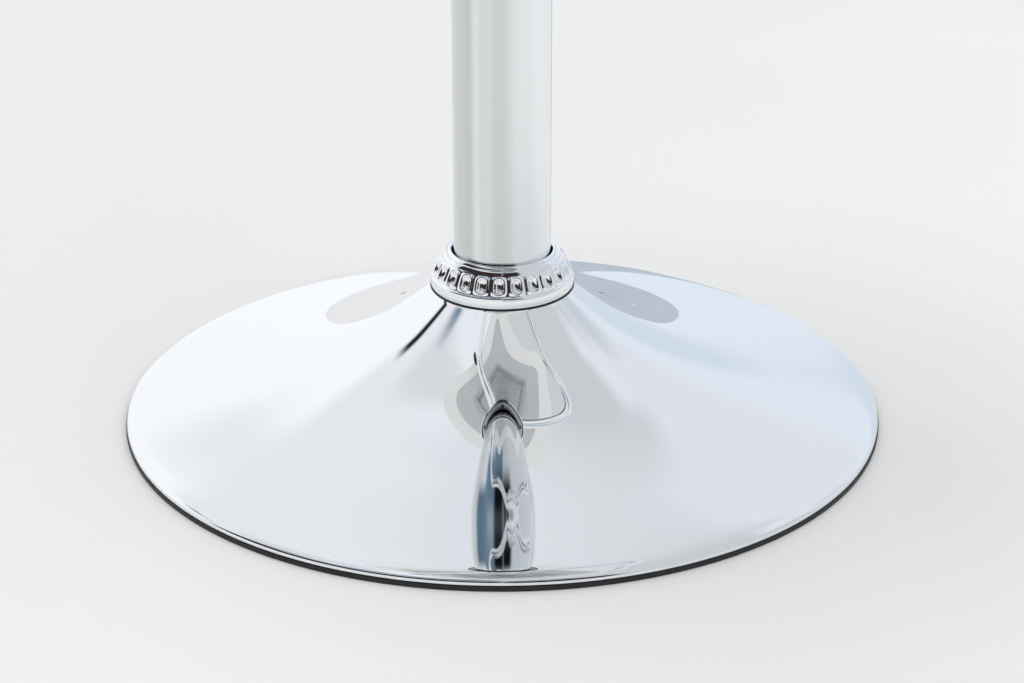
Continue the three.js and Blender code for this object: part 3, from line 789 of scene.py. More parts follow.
    @classmethod
    def drilled(cls, piece: bpy.types.Object, cutters: Iterable[bpy.types.Object]) -> bpy.types.Object:
        """Cuts the cutters out of a piece and deletes them.

        Args:
            piece: The piece.
            cutters: What is cut out of it.

        Returns:
            The cut piece.
        """
        for cutter in cutters:
            cls.clear()
            bpy.context.view_layer.objects.active = piece
            piece.select_set(True)
            cut = piece.modifiers.new("cut", "BOOLEAN")
            cut.operation = "DIFFERENCE"
            cut.solver = "EXACT"
            cut.object = cutter
            bpy.ops.object.modifier_apply(modifier="cut")
            bpy.data.objects.remove(cutter)
        bpy.ops.object.shade_smooth_by_angle(angle=cls.SHARP)
        return piece

    @classmethod
    def joined(cls, pieces: Sequence[bpy.types.Object]) -> bpy.types.Object:
        """Joins pieces to the first of them.

        Args:
            pieces: The pieces.

        Returns:
            The first piece, with the others in it.
        """
        cls.clear()
        for piece in pieces:
            piece.select_set(True)
        bpy.context.view_layer.objects.active = pieces[0]
        bpy.ops.object.join()
        return pieces[0]


def dress(piece: bpy.types.Object, finish: Finish, body: Body, *nodes: str) -> bpy.types.Object:
    """Gives a piece its finish and body, and hides the frame's nodes that it stands for.

    Args:
        piece: The piece.
        finish: Its finish.
        body: The body that it moves with.
        nodes: The nodes that it replaces.

    Returns:
        The piece.
    """
    if not piece.data.polygons:
        raise ValueError(f"{piece.name} has no faces")
    piece.data.materials.clear()
    piece.data.materials.append(finish.material())
    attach(piece, body.value)
    if nodes:
        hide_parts(*nodes)
    LOG.info("%s rides on %s", piece.name, body.value)
    return piece


def coat_nodes(frame: dict, finish: Finish, names: Iterable[str]) -> None:
    """Gives nodes of the frame, whose shape is right, their finish.

    Args:
        frame: The loaded frame.
        finish: The finish.
        names: The nodes' names.
    """
    for name in names:
        node = frame["nodes"][name]
        node.data.materials.clear()
        node.data.materials.append(finish.material())
        LOG.info("%s keeps its shape", name)


def arc(centre: Point, radius: float, start: float, end: float, steps: int) -> list[Point]:
    """Returns points on an arc, with its angles in degrees from the first axis."""
    angles = [math.radians(start + (end - start) * i / steps) for i in range(steps + 1)]
    return [(centre[0] + radius * math.cos(a), centre[1] + radius * math.sin(a)) for a in angles]


def rounded(start: Vector, corner: Vector, end: Vector, steps: int) -> list[Vector]:
    """Returns points on the curve that rounds a corner.

    Args:
        start: Where the curve starts.
        corner: The corner that it cuts.
        end: Where it ends.
        steps: Its number of steps.

    Returns:
        The points from start to end.
    """
    shares = [step / steps for step in range(steps + 1)]
    return [start * (1 - s) ** 2 + corner * 2 * s * (1 - s) + end * s ** 2 for s in shares]


def bent(before: Vector, here: Vector, after: Vector, bend: float, steps: int) -> list[Vector]:
    """Returns points round one bend of a tube.

    Args:
        before: The corner before this one.
        here: This corner.
        after: The corner after it.
        bend: How far from the corner the bend starts and ends.
        steps: The number of steps round it.

    Returns:
        The points round the bend.
    """
    start = here + (before - here).normalized() * bend
    end = here + (after - here).normalized() * bend
    return rounded(start, here, end, steps)


def eased(outline: Sequence[Point], radius: float, steps: int = 3) -> list[Point]:
    """Rounds the corners of a closed outline.

    Args:
        outline: The outline's corners.
        radius: How far from a corner its round starts, at most a third of the shorter side there.
        steps: Facets on each round.

    Returns:
        The outline with its corners rounded.
    """
    points: list[Point] = []
    count = len(outline)
    for i, corner in enumerate(outline):
        here = Vector(corner)
        before = Vector(outline[i - 1]) - here
        after = Vector(outline[(i + 1) % count]) - here
        reach = min(radius, before.length / 3, after.length / 3)
        first = here + before.normalized() * reach
        last = here + after.normalized() * reach
        points += [(point.x, point.y) for point in rounded(first, here, last, steps)]
    return points


class Curve:
    """A smooth curve through chosen points, with the same slope on both sides of each."""

    def __init__(self, points: Sequence[Point]) -> None:
        """Works out the curvature at each point.

        Args:
            points: (x, y) points in rising x.
        """
        self.x = [point[0] for point in points]
        self.y = [point[1] for point in points]
        self.bend = self.natural_bends()

    def natural_bends(self) -> list[float]:
        """Returns the second derivative at each point of the natural cubic spline.

        Returns:
            One second derivative for each point.
        """
        count = len(self.x)
        bend = [0.0] * count
        work = [0.0] * count
        for i in range(1, count - 1):
            before = self.x[i] - self.x[i - 1]
            span = self.x[i + 1] - self.x[i - 1]
            share = before / span
            scale = share * bend[i - 1] + 2
            rise = (self.y[i + 1] - self.y[i]) / (self.x[i + 1] - self.x[i])
            fall = (self.y[i] - self.y[i - 1]) / before
            bend[i] = (share - 1) / scale
            work[i] = (6 * (rise - fall) / span - share * work[i - 1]) / scale
        for i in range(count - 2, -1, -1):
            bend[i] = bend[i] * bend[i + 1] + work[i]
        return bend

    def at(self, x: float) -> float:
        """Returns the curve's height at x.

        Args:
            x: The place.

        Returns:
            The height.
        """
        i = max(1, min(len(self.x) - 1, sum(1 for knot in self.x if knot < x)))
        low, high = self.x[i - 1], self.x[i]
        span = high - low
        a, b = (high - x) / span, (x - low) / span
        sag = ((a ** 3 - a) * self.bend[i - 1] + (b ** 3 - b) * self.bend[i]) * span ** 2 / 6
        return a * self.y[i - 1] + b * self.y[i] + sag


# Sub-assemblies


@dataclass
class Foot:
    """The spun trumpet foot on its black edge ring."""

    sheet: float = 1.5
    edge_roll: float = 2.2
    skirt_height: float = 0.55
    neck_radius: float = 36.9
    facets: int = 256
    step: float = 1.5
    # The flare's slope in degrees from level, by radius
    slopes: tuple[Point, ...] = (
        (34, 40.6), (38, 40.3), (42, 39.5), (46, 38.7), (50, 37.9), (55, 36.9), (61, 34.8), (68, 31.8),
        (76, 28.9), (85, 26.5), (95, 23.4), (108, 19.7), (125, 16.1), (150, 12.0), (170, 11.8), (182, 12.4),
        (188, 14.0), (191.5, 17.5), (196, 30.0),
    )
    # The throat inside the collar, which no one sees
    throat: tuple[Point, ...] = ((29.2, 80.5), (29.8, 77.5), (31.6, 74.6), (34.0, 72.1))
    ring_width: float = 9.5
    ring_lip: Point = (5.3, 7.3)
    ring_step: float = 2.7
    ring_edge: float = 0.7

    def flare(self, rim_radius: float, rim_height: float) -> list[Point]:
        """Adds up the slopes from the rim to the neck.

        Args:
            rim_radius: Where the flare meets the rolled edge.
            rim_height: The height there.

        Returns:
            Points of the upper face from the neck out to the rim.
        """
        slope = Curve(self.slopes)
        count = round((rim_radius - self.neck_radius) / self.step)
        width = (rim_radius - self.neck_radius) / count
        points = [(rim_radius, rim_height)]
        for i in range(count):
            radius = rim_radius - i * width
            height = points[-1][1] + width * math.tan(math.radians(slope.at(radius - width / 2)))
            points.append((radius - width, height))
        LOG.info("flare meets the collar at %.2f mm", points[-1][1])
        return points[::-1]

    def outline(self) -> list[Point]:
        """Returns the closed outline of the spun sheet.

        Returns:
            (radius, height) points.
        """
        low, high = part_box("base_trumpet")
        rim = high.x / MM
        skirt = low.z / MM
        roll = arc((rim - self.edge_roll, skirt + self.skirt_height), self.edge_roll, 60, 0, 12)
        upper = [*self.throat, *self.flare(*roll.pop(0))]
        under = [(radius - 0.75, height - self.sheet) for radius, height in upper[::-3]]
        return [*upper, *roll, (rim, skirt), (rim - self.sheet, skirt), *under]

    def build(self, frame: dict) -> None:
        """Builds the foot's visible pieces.

        Args:
            frame: The loaded frame.
        """
        trumpet = Workbench.turned("trumpet_foot", self.outline(), self.facets)
        dress(trumpet, CHROME, Body.BASE, "base_trumpet")
        low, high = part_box("base_rubber_ring")
        outer, top = high.x / MM, high.z / MM
        lip_outside, lip_inside = (outer - depth for depth in self.ring_lip)
        inner = outer - self.ring_width
        ring = eased([
            (inner, 0), (outer, 0), (outer, self.ring_step), (lip_outside, self.ring_step),
            (lip_outside, top), (lip_inside, top), (inner, self.ring_step),
        ], self.ring_edge)
        dress(Workbench.turned("edge_ring", ring, self.facets), RUBBER, Body.BASE, "base_rubber_ring")
        coat_nodes(frame, ZINC, ("base_hub_socket", "base_hub_plate"))


@dataclass
class Collar:
    """The collar round the column's root, with a band of oval dimples in raised frames."""

    dimples: int = 24
    phase: float = -3.0
    steps_per_dimple: int = 18
    band_rows: int = 20
    dimple_depth: float = 1.5
    dimple_width: float = 0.3
    dimple_height: float = 0.4
    squareness: float = 2.6
    frame_rise: float = 0.75
    frame_width: float = 0.19
    skirt: tuple[Point, ...] = (
        (35.9, 71.4), (36.6, 70.8), (36.95, 71.1), (37.0, 73.0), (36.9, 76.2), (36.5, 76.9),
    )
    # Painted shadow: a thin black ring under the skirt that stands in for the shadow in the gap between the
    # collar and the flare
    painted_shadow_ring: tuple[Point, ...] = ((34.2, 70.2), (37.25, 70.2), (37.25, 70.75), (34.2, 71.6))
    band_foot: Point = (35.9, 77.2)
    band_head: Point = (31.2, 86.6)
    crown: tuple[Point, ...] = (
        (31.1, 87.2), (30.9, 87.6), (30.2, 89.0), (29.9, 89.25), (29.0, 89.25), (28.75, 88.95), (28.5, 88.6),
        (27.8, 90.0), (27.5, 90.25), (26.6, 90.3), (26.2, 90.0), (26.1, 86.0),
    )
    inside: tuple[Point, ...] = ((28.4, 85.0), (33.9, 75.6), (35.5, 74.6))

    def relief(self, around: float, up: float) -> float:
        """Returns how far the band stands out at a place.

        Args:
            around: Place round the collar in dimples, 0 at a dimple's centre.
            up: Place on the band, from -0.5 at its foot to 0.5 at its head.

        Returns:
            Millimetres out from the plain band.
        """
        across = (around + 0.5) % 1 - 0.5
        square = self.squareness
        reach = abs(across / self.dimple_width) ** square + abs(up / self.dimple_height) ** square
        reach **= 1 / square
        hollow = max(0.0, 1 - reach ** 2)
        rim = math.exp(-((reach - 1.12) * self.dimple_width / self.frame_width * 1.6) ** 2)
        return self.frame_rise * rim - self.dimple_depth * hollow ** 0.7

    def outline(self) -> list[Point]:
        """Returns the closed outline, with the plain band divided into rows.

        Returns:
            (radius, height) points.
        """
        foot, head = Vector(self.band_foot), Vector(self.band_head)
        band = [foot.lerp(head, i / self.band_rows) for i in range(self.band_rows + 1)]
        return [*self.skirt, *((p.x, p.y) for p in band), *self.crown, *self.inside]

    def press_dimples(self, piece: bpy.types.Object) -> None:
        """Moves the band's vertices out to the frames and in to the dimples.

        Args:
            piece: The turned collar.
        """
        foot, head = Vector(self.band_foot), Vector(self.band_head)
        slant = head - foot
        normal = Vector((slant.y, -slant.x)).normalized()
        for vertex in piece.data.vertices:
            radius = math.hypot(vertex.co.x, vertex.co.y) / MM
            spot = Vector((radius, vertex.co.z / MM)) - foot
            share = spot.dot(slant) / slant.length_squared
            if abs(spot.dot(normal)) > 0.01 or not 0.01 < share < 0.99:
                continue
            azimuth = math.atan2(vertex.co.x, -vertex.co.y)
            around = (azimuth - math.radians(self.phase)) / math.tau * self.dimples
            fade = min(1.0, 6 * min(share, 1 - share))
            push = self.relief(around, share - 0.5) * fade
            grown = (radius + push * normal.x) / radius
            vertex.co.x *= grown
            vertex.co.y *= grown
            vertex.co.z += push * normal.y * MM

    def build(self) -> None:
        """Builds the collar and the black ring of painted shadow under its skirt."""
        steps = self.dimples * self.steps_per_dimple
        ring = Workbench.turned("dimpled_collar", self.outline(), steps, math.radians(60))
        self.press_dimples(ring)
        dress(ring, CHROME, Body.BASE, "collar_ring")
        # Painted shadow: the thin black ring under the collar's skirt
        painted_shadow_ring = Workbench.turned("collar_painted_shadow_ring", eased(self.painted_shadow_ring, 0.15), 192)
        dress(painted_shadow_ring, PLASTIC, Body.BASE)


@dataclass
class Column:
    """The column tube with its black cap, and what stays inside it."""

    wall: float = 1.8
    # How high the slightly tapered tail and the floor inside it reach
    tail: float = 62.0
    floor: float = 2.5
    floor_hole: float = 7.0
    cap_bore: float = 14.4
    cap_edge: float = 1.6
    facets: int = 160

    def build(self, frame: dict) -> None:
        """Builds the column's visible pieces.

        Args:
            frame: The loaded frame.
        """
        low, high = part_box("guide_tube")
        radius, bottom, top = high.x / MM, low.z / MM, high.z / MM
        tail, floor, hole = bottom + self.tail, bottom + self.floor, self.floor_hole
        bore = radius - self.wall
        outline = [
            (hole, bottom), (radius - 1.6, bottom), (radius - 0.8, bottom + 1), (radius, tail),
            (radius, top - 0.4), (radius - 0.4, top), (bore + 0.3, top), (bore, top - 0.3), (bore, tail),
            (bore - 0.8, floor + 0.5), (bore - 1.3, floor), (hole, floor),
        ]
        dress(Workbench.turned("column_tube", outline, self.facets), REFLECTION_BANDED_CHROME, Body.BASE, "guide_tube")
        low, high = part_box("guide_tube_cap")
        outer, bottom, top = high.x / MM, low.z / MM, high.z / MM
        bore = self.cap_bore
        cap = eased([(bore, bottom), (outer, bottom), (outer, top), (bore, top)], self.cap_edge, 5)
        dress(Workbench.turned("column_cap", cap, self.facets), PLASTIC, Body.BASE, "guide_tube_cap")
        coat_nodes(frame, PLASTIC, ("guide_bush",))
        coat_nodes(frame, ZINC, ("bearing_lower_race", "bearing_ball_cage"))


@dataclass
class GasLift:
    """The gas cylinder, its rod and the small pieces on the rod."""

    facets: int = 96
    taper: float = 50.0
    wall: float = 1.4
    taper_wall: float = 2.8
    rod_hole: float = 5.3
    pin_hole: float = 3.3
    end_depth: float = 12.0
    head_depth: float = 16.0

    def build(self, frame: dict) -> None:
        """Builds the cylinder and coats the pieces on the rod.

        Args:
            frame: The loaded frame.
        """
        low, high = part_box("gas_cylinder")
        radius, bottom, top = high.x / MM, low.z / MM, high.z / MM
        start = top - self.taper
        bore, head_bore = radius - self.wall, radius - self.taper_wall
        end, head = bottom + self.end_depth, top - self.head_depth
        outline = [
            (self.rod_hole, bottom), (bore, bottom), (radius - 0.4, bottom + 0.4), (radius, bottom + 1.6),
            (radius, start), (radius - 0.7, top - 0.6), (radius - 1.3, top), (self.pin_hole, top),
            (self.pin_hole, head), (head_bore, head), (head_bore, start), (bore, start), (bore, end),
            (self.rod_hole, end),
        ]
        dress(Workbench.turned("lift_cylinder", outline, self.facets), CHROME, Body.CARRIAGE, "gas_cylinder")
        coat_nodes(frame, CHROME, ("piston_rod",))
        coat_nodes(frame, PLASTIC, ("piston_head",))
        coat_nodes(frame, RUBBER, ("bump_rubber",))
        coat_nodes(frame, ZINC, ("bearing_upper_race", "rod_washer", "rod_clip", "valve_pin"))


@dataclass
class BellSleeve:
    """The sleeve that comes down over the column, with its plastic bush and glide ring."""

    wall: float = 1.5
    straight_radius: float = 31.0
    flare_height: float = 13.0
    shoulder: float = 533.0
    neck: float = 560.0
    neck_radius: float = 18.5
    washer_radii: Point = (25.9, 32.0)
    washer_level: Point = (338.6, 339.8)
    tab_phase: float = -30.0
    tab_size: tuple[float, float, float] = (5.0, 2.6, 1.2)
    facets: int = 160

    def outline(self) -> list[Point]:
        """Returns the closed outline of the sleeve.

        Returns:
            (radius, height) points.
        """
        low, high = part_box("bell_sleeve")
        bottom, top = low.z / MM, high.z / MM
        middle = (self.shoulder + self.neck) / 2
        outside = [(high.x / MM - 0.1, bottom + 0.3)]
        outside += self.bezier((high.x / MM - 0.2, bottom + 1.2), (self.straight_radius, bottom + 6.5),
                               (self.straight_radius, bottom + 6.6),
                               (self.straight_radius, bottom + self.flare_height), 8)
        outside += self.bezier((self.straight_radius, self.shoulder), (self.straight_radius, middle),
                               (self.neck_radius, middle), (self.neck_radius, self.neck), 14)
        outside += [(self.neck_radius, top - 0.4), (self.neck_radius - 0.4, top)]
        inside = [(radius - self.wall, height + 0.4) for radius, height in outside[:-2][::-1]]
        return [*outside, (self.neck_radius - self.wall, top), *inside, (high.x / MM - self.wall, bottom)]

    @staticmethod
    def bezier(start: Point, pull: Point, push: Point, end: Point, steps: int) -> list[Point]:
        """Returns points on a cubic curve.

        Args:
            start: Its start.
            pull: Its first handle.
            push: Its second handle.
            end: Its end.
            steps: Its number of steps.

        Returns:
            The points.
        """
        points = []
        for i in range(steps + 1):
            share = i / steps
            rest = 1 - share
            weights = (rest ** 3, 3 * rest ** 2 * share, 3 * rest * share ** 2, share ** 3)
            points.append(tuple(sum(w * p[axis] for w, p in zip(weights, (start, pull, push, end)))
                                for axis in (0, 1)))
        return points

    def build(self, frame: dict) -> None:
        """Builds the sleeve and coats its plastic pieces.

        Args:
            frame: The loaded frame.
        """
        sleeve = Workbench.turned("bell_tube", self.outline(), self.facets)
        dress(sleeve, CHROME, Body.CARRIAGE, "bell_sleeve")
        coat_nodes(frame, PLASTIC, ("bell_bush", "bell_glide_ring"))
        low, top = self.washer_level
        inner, outer = self.washer_radii
        ring = eased([(inner, low), (outer, low), (outer, top), (inner, top)], 0.3, 2)
        dress(Workbench.turned("glide_washer", ring, self.facets), ZINC, Body.CARRIAGE)
        dress(self.tabs(), PLASTIC, Body.CARRIAGE)

    def tabs(self) -> bpy.types.Object:
        """Returns the four snap tabs that show under the washer.

        Returns:
            The tabs as one piece.
        """
        pieces = []
        middle = sum(self.washer_radii) / 2
        for number in range(4):
            Workbench.clear()
            way = math.radians(self.tab_phase + 90 * number)
            level = (self.washer_level[0] - 0.5) * MM
            place = (middle * math.sin(way) * MM, -middle * math.cos(way) * MM, level)
            bpy.ops.mesh.primitive_cube_add(size=1, location=place, rotation=(0, 0, way),
                                            scale=tuple(side * MM for side in self.tab_size))
            bpy.ops.object.transform_apply(location=True, rotation=True, scale=True)
            tab = Workbench.start(f"glide_tab_{number + 1}")
            Workbench.pick_edges(tab, lambda a, b: True)
            bpy.ops.mesh.bevel(offset=0.3 * MM, segments=2, affect="EDGES")
            pieces.append(Workbench.close(tab))
        return Workbench.joined(pieces)


@dataclass
class Footrest:
    """The looped tube and the ribbed sleeve on its front bar."""

    tube: float = 8.0
    height: float = 388.0
    half_width: float = 158.0
    widest: float = 40.0
    bar_half: float = 60.0
    reach: float = 178.0
    wide_bend: float = 52.0
    bar_bend: float = 24.0
    ribs: int = 8
    grip_half: float = 34.0
    bend_steps: int = 14
    root: Point = (27.0, 7.5)

    def path(self) -> list[Vector]:
        """Returns the tube's centre line from one side of the sleeve to the other.

        Returns:
            Points in millimetres.
        """
        def at(x: float, forward: float) -> Vector:
            """Returns a point at the loop's height."""
            return Vector((x, -forward, self.height))
        right = [at(*self.root), at(self.half_width, self.widest), at(self.bar_half, self.reach)]
        corners = [*right, *(Vector((-p.x, p.y, p.z)) for p in reversed(right))]
        path = [corners[0]]
        bends = (self.wide_bend, self.bar_bend, self.bar_bend, self.wide_bend)
        for before, here, after, bend in zip(corners, corners[1:], corners[2:], bends):
            path += bent(before, here, after, bend, self.bend_steps)
        return [*path, corners[-1]]

    def grip_outline(self) -> list[Point]:
        """Returns the ribbed sleeve's closed outline along the bar.

        Returns:
            (radius, place along the bar) points.
        """
        low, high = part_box("footrest_grip")
        outer = (high.z - low.z) / 2 / MM
        groove = outer - 1.5
        pitch = 2 * self.grip_half / self.ribs
        points: list[Point] = [(self.tube + 0.4, -self.grip_half), (groove, -self.grip_half)]
        for rib in range(self.ribs):
            centre = -self.grip_half + (rib + 0.5) * pitch
            points += [(groove + (outer - groove) * math.cos(a) ** 0.6, centre + pitch * 0.36 * math.sin(a))
                       for a in (math.radians(-80 + 20 * i) for i in range(9))]
        return [*points, (groove, self.grip_half), (self.tube + 0.4, self.grip_half)]

    def build(self) -> None:
        """Builds the loop and the grip on its bar."""
        loop = Workbench.tube("footrest_tube", self.path(), self.tube, 32)
        dress(loop, CHROME, Body.CARRIAGE, "footrest_loop")
        grip = Workbench.turned("ribbed_grip", self.grip_outline(), 64)
        grip.data.transform(Matrix.Translation((0, -self.reach * MM, self.height * MM))
                            @ Matrix.Rotation(math.radians(90), 4, "Y"))
        dress(grip, CHROME, Body.CARRIAGE, "footrest_grip")


@dataclass
class SeatFrame:
    """The socket, pressed plate and fixings between the lift and the seat."""

    bolt_half: float = 71.0
    head_radius: float = 6.6
    head_height: float = 5.0
    shank_radius: float = 3.4
    socket_bores: Point = (14.3, 13.7)

    def build_bolts(self) -> None:
        """Builds the four flanged bolt heads with their shanks."""
        for number, (x, y) in enumerate(((1, -1), (1, 1), (-1, 1), (-1, -1)), start=1):
            low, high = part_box(f"seat_bolt_{number}")
            bottom, top = low.z, high.z
            Workbench.clear()
            place = (x * self.bolt_half * MM, y * self.bolt_half * MM, bottom + self.head_height * MM / 2)
            bpy.ops.mesh.primitive_cylinder_add(vertices=6, radius=self.head_radius * MM,
                                                depth=self.head_height * MM, location=place)
            head = bpy.context.active_object
            bpy.ops.object.transform_apply(location=True, rotation=True, scale=True)
            Workbench.start(f"bolt_head_{number}")
            Workbench.pick_edges(head, lambda a, b: abs(a.z - b.z) < MM)
            bpy.ops.mesh.bevel(offset=0.5 * MM, segments=2, affect="EDGES")
            Workbench.close(head)
            end = (top - bottom) / MM - 2
            radius = self.shank_radius
            outline = [(0, 0), (radius, 0), (radius, end - 1), (radius - 0.8, end), (0, end)]
            shank = Workbench.turned(f"bolt_shank_{number}", outline, 24, closed=False)
            shank.data.transform(Matrix.Translation((place[0], place[1], bottom + 2 * MM)))
            bolt = Workbench.joined([head, shank])
            dress(bolt, ZINC, Body.CARRIAGE, f"seat_bolt_{number}")

    def build(self, frame: dict) -> None:
        """Builds the fixings and coats the plate and socket.

        Args:
            frame: The loaded frame.
        """
        low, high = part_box("taper_socket")
        outer, bottom, top = high.x / MM, low.z / MM, high.z / MM
        low_bore, high_bore = self.socket_bores
        outline = eased([(low_bore, bottom), (outer, bottom), (outer, top), (high_bore, top)], 0.8)
        dress(Workbench.turned("lift_socket", outline, 96), COAT, Body.CARRIAGE, "taper_socket")
        self.build_bolts()
        coat_nodes(frame, COAT, ("lever_bracket",))
        coat_nodes(frame, ZINC, ("seat_plate", "lever_pivot_pin"))


@dataclass
class ReleaseLever:
    """The cranked lever rod and its grip."""

    radius: float = 4.0
    # The wire's corners as (x, z) with the size of the bend there
    stations: tuple[tuple[float, float, float], ...] = (
        (6.0, 640.6, 0.0), (-62.0, 640.6, 14.0), (-96.0, 626.0, 14.0), (-150.0, 616.0, 7.0),
        (-176.0, 613.0, 0.0),
    )
    grip_length: float = 42.0
    grip_bore: float = 4.3
    grip_hole: float = 24.0
    grip_root: Point = (-153.0, 615.65)

    def grip_outline(self) -> list[Point]:
        """Returns the grip's closed outline along the rod, with a belly and a round end.

        Returns:
            (radius, place along the rod) points.
        """
        length, bore, hole = self.grip_length, self.grip_bore, self.grip_hole
        outline = [(bore, 0), (5.0, 0), (5.5, 0.6)]
        for step in range(1, 16):
            share = step / 16
            outline.append((5.5 + 1.5 * math.sin(math.pi * share) ** 0.8, 0.6 + share * (length - 5)))
        return [*outline, (5.4, length - 3.6), (4.8, length - 1.6), (3.4, length - 0.4), (0, length),
                (0, hole), (bore, hole)]

    def build(self) -> None:
        """Builds the rod and its grip."""
        spots = [Vector((x, 0, z)) for x, z, _ in self.stations]
        path = [spots[0]]
        for before, here, after, (_, _, bend) in zip(spots, spots[1:], spots[2:], self.stations[1:]):
            path += bent(before, here, after, bend, 8)
        path.append(spots[-1])
        dress(Workbench.tube("lever_wire", path, self.radius, 24), CHROME, Body.LEVER, "lever_rod")
        grip = Workbench.turned("lever_grip", self.grip_outline(), 48)
        last = spots[-1] - spots[-2]
        heading = math.atan2(last.x, last.z)
        grip.data.transform(Matrix.Translation((self.grip_root[0] * MM, 0, self.grip_root[1] * MM))
                            @ Matrix.Rotation(heading, 4, "Y"))
        dress(grip, PLASTIC, Body.LEVER, "lever_paddle")


@dataclass
class SeatPad:
    """The square padded seat on its plywood board, with a low rolled lip at the rear."""

    slimming: float = 2.5
    voxel: float = 5.0
    pressure: float = 4.0
    frames: int = 20
    puff_cap: float = 6.0
    pinned_below: float = 655.0
    pocket_half: float = 172.0
    pocket_top: float = 669.0
    piping_radius: float = 2.3
    piping_level: float = 693.0
    piping_rise: float = 34.0
    rise_start: float = 60.0
    rise_end: float = 180.0
    rear: float = 185.0
    seam_points: int = 180
    stitch_drop: float = 6.0
    hem_halves: Point = (134.6, 176.0)
    hem_corners: Point = (26.5, 36.0)
    hem_level: Point = (650.5, 651.9)

    def is_held(self, spot: Vector) -> bool:
        """Returns whether the cover is fixed there: under the pad and in the pocket for the board."""
        x, y, z = (abs(value) / MM for value in spot)
        return z < self.pinned_below or (max(x, y) < self.pocket_half and z < self.pocket_top)

    def blank(self, frame: dict) -> bpy.types.Object:
        """Makes a slimmer copy of the frame's cushion with even faces.

        Args:
            frame: The loaded frame.

        Returns:
            The copy.
        """
        Workbench.clear()
        bpy.ops.mesh.primitive_cube_add(size=MM, location=(0, 0, 0))
        pad = bpy.context.active_object
        pad.name = "padded_seat"
        pad.data = frame["nodes"]["seat_cushion"].data.copy()
        Workbench.close(pad)
        pad.data.remesh_voxel_size = self.voxel * MM
        bpy.ops.object.voxel_remesh()
        free = [(vertex, vertex.normal.copy()) for vertex in pad.data.vertices if not self.is_held(vertex.co)]
        for vertex, normal in free:
            vertex.co -= normal * self.slimming * MM
        return pad

    def puff(self, pad: bpy.types.Object) -> None:
        """Blows the cover up against the pad's own shape by a cloth simulation.

        Args:
            pad: The pad, whose mesh is changed.
        """
        start = [vertex.co.copy() for vertex in pad.data.vertices]
        held = pad.vertex_groups.new(name="held")
        held.add([i for i, spot in enumerate(start) if self.is_held(spot)], 1.0, "REPLACE")
        cover = pad.modifiers.new("cover", "CLOTH")
        cover.settings.vertex_group_mass = "held"
        cover.settings.use_pressure = True
        cover.settings.uniform_pressure_force = self.pressure
        cover.settings.effector_weights.gravity = 0.0
        cover.settings.bending_stiffness = 2.0
        cover.settings.shrink_min = -0.02
        cover.point_cache.frame_end = self.frames
        for step in range(1, self.frames + 1):
            bpy.context.scene.frame_set(step)
        bpy.ops.object.modifier_apply(modifier="cover")
        bpy.context.scene.frame_set(1)
        limit = self.puff_cap * MM
        moved = 0.0
        for vertex, spot in zip(pad.data.vertices, start):
            step = vertex.co - spot
            moved = max(moved, step.length)
            if step.length > limit:
                vertex.co = spot + step * limit / step.length
        LOG.info("cover puffed by up to %.1f mm", moved / MM)

    def seam_path(self, pad: bpy.types.Object, drop: float = 0.0, sink: float = 0.0) -> list[Vector]:
        """Finds a line round the pad's sides.

        Args:
            pad: The pad.
            drop: Millimetres below the piping's level.
            sink: Millimetres that the line lies under the surface.

        Returns:
            Points in millimetres.
        """
        bpy.context.view_layer.update()
        path = []
        for number in range(self.seam_points):
            way = math.tau * number / self.seam_points
            outward = Vector((math.cos(way), math.sin(way), 0))
            share = (outward.y * self.rear - self.rise_start) / (self.rise_end - self.rise_start)
            share = min(1.0, max(0.0, share))
            level = self.piping_level + self.piping_rise * share * share * (3 - 2 * share) - drop
            found, spot, normal, _ = pad.ray_cast(outward * 0.4 + Vector((0, 0, level * MM)), -outward)
            if found:
                path.append((spot - normal * sink * MM) / MM)
        return path

    def build_hem(self) -> None:
        """Builds the turned-in edge of the cover round the lining."""
        inner, outer = self.hem_halves
        low, top = self.hem_level
        hem = Workbench.slab("cover_hem", outer, outer, self.hem_corners[1], low, top, 0.4)
        hole = Workbench.slab("hem_hole", inner, inner, self.hem_corners[0], low - 2, top + 2)
        dress(Workbench.drilled(hem, [hole]), COVER, Body.CARRIAGE)

    def build(self, frame: dict) -> None:
        """Builds the pad, its piping and hem, and coats the board and lining.

        Args:
            frame: The loaded frame.
        """
        pad = self.blank(frame)
        self.puff(pad)
        smooth = pad.modifiers.new("finer", "SUBSURF")
        smooth.levels = smooth.render_levels = 1
        bpy.ops.object.modifier_apply(modifier="finer")
        bpy.ops.object.shade_smooth()
        dress(pad, COVER, Body.CARRIAGE, "seat_cushion")
        seam = self.seam_path(pad, sink=0.4)
        piping = Workbench.tube("seat_piping", seam, self.piping_radius, 16, looped=True)
        dress(piping, COVER, Body.CARRIAGE)
        stitches = self.seam_path(pad, drop=self.stitch_drop)
        thread = Workbench.tube("seam_stitching", stitches, 0.5, 8, looped=True)
        dress(thread, THREAD, Body.CARRIAGE)
        self.build_hem()
        coat_nodes(frame, PLY, ("seat_board",))
        coat_nodes(frame, LINING, ("seat_underside_lining",))


# The studio


@dataclass(frozen=True)
class Patch:
    """A soft-edged patch of light or dark in the surroundings.

    Directions are in degrees: azimuth 0 lies straight behind the stool as the camera sees it and grows to
    the right, and elevation 0 is level.
    """

    tone: tuple[float, float, float, float]
    azimuth: Point
    elevation: Point
    soft: Point
    strength: float = 1.0


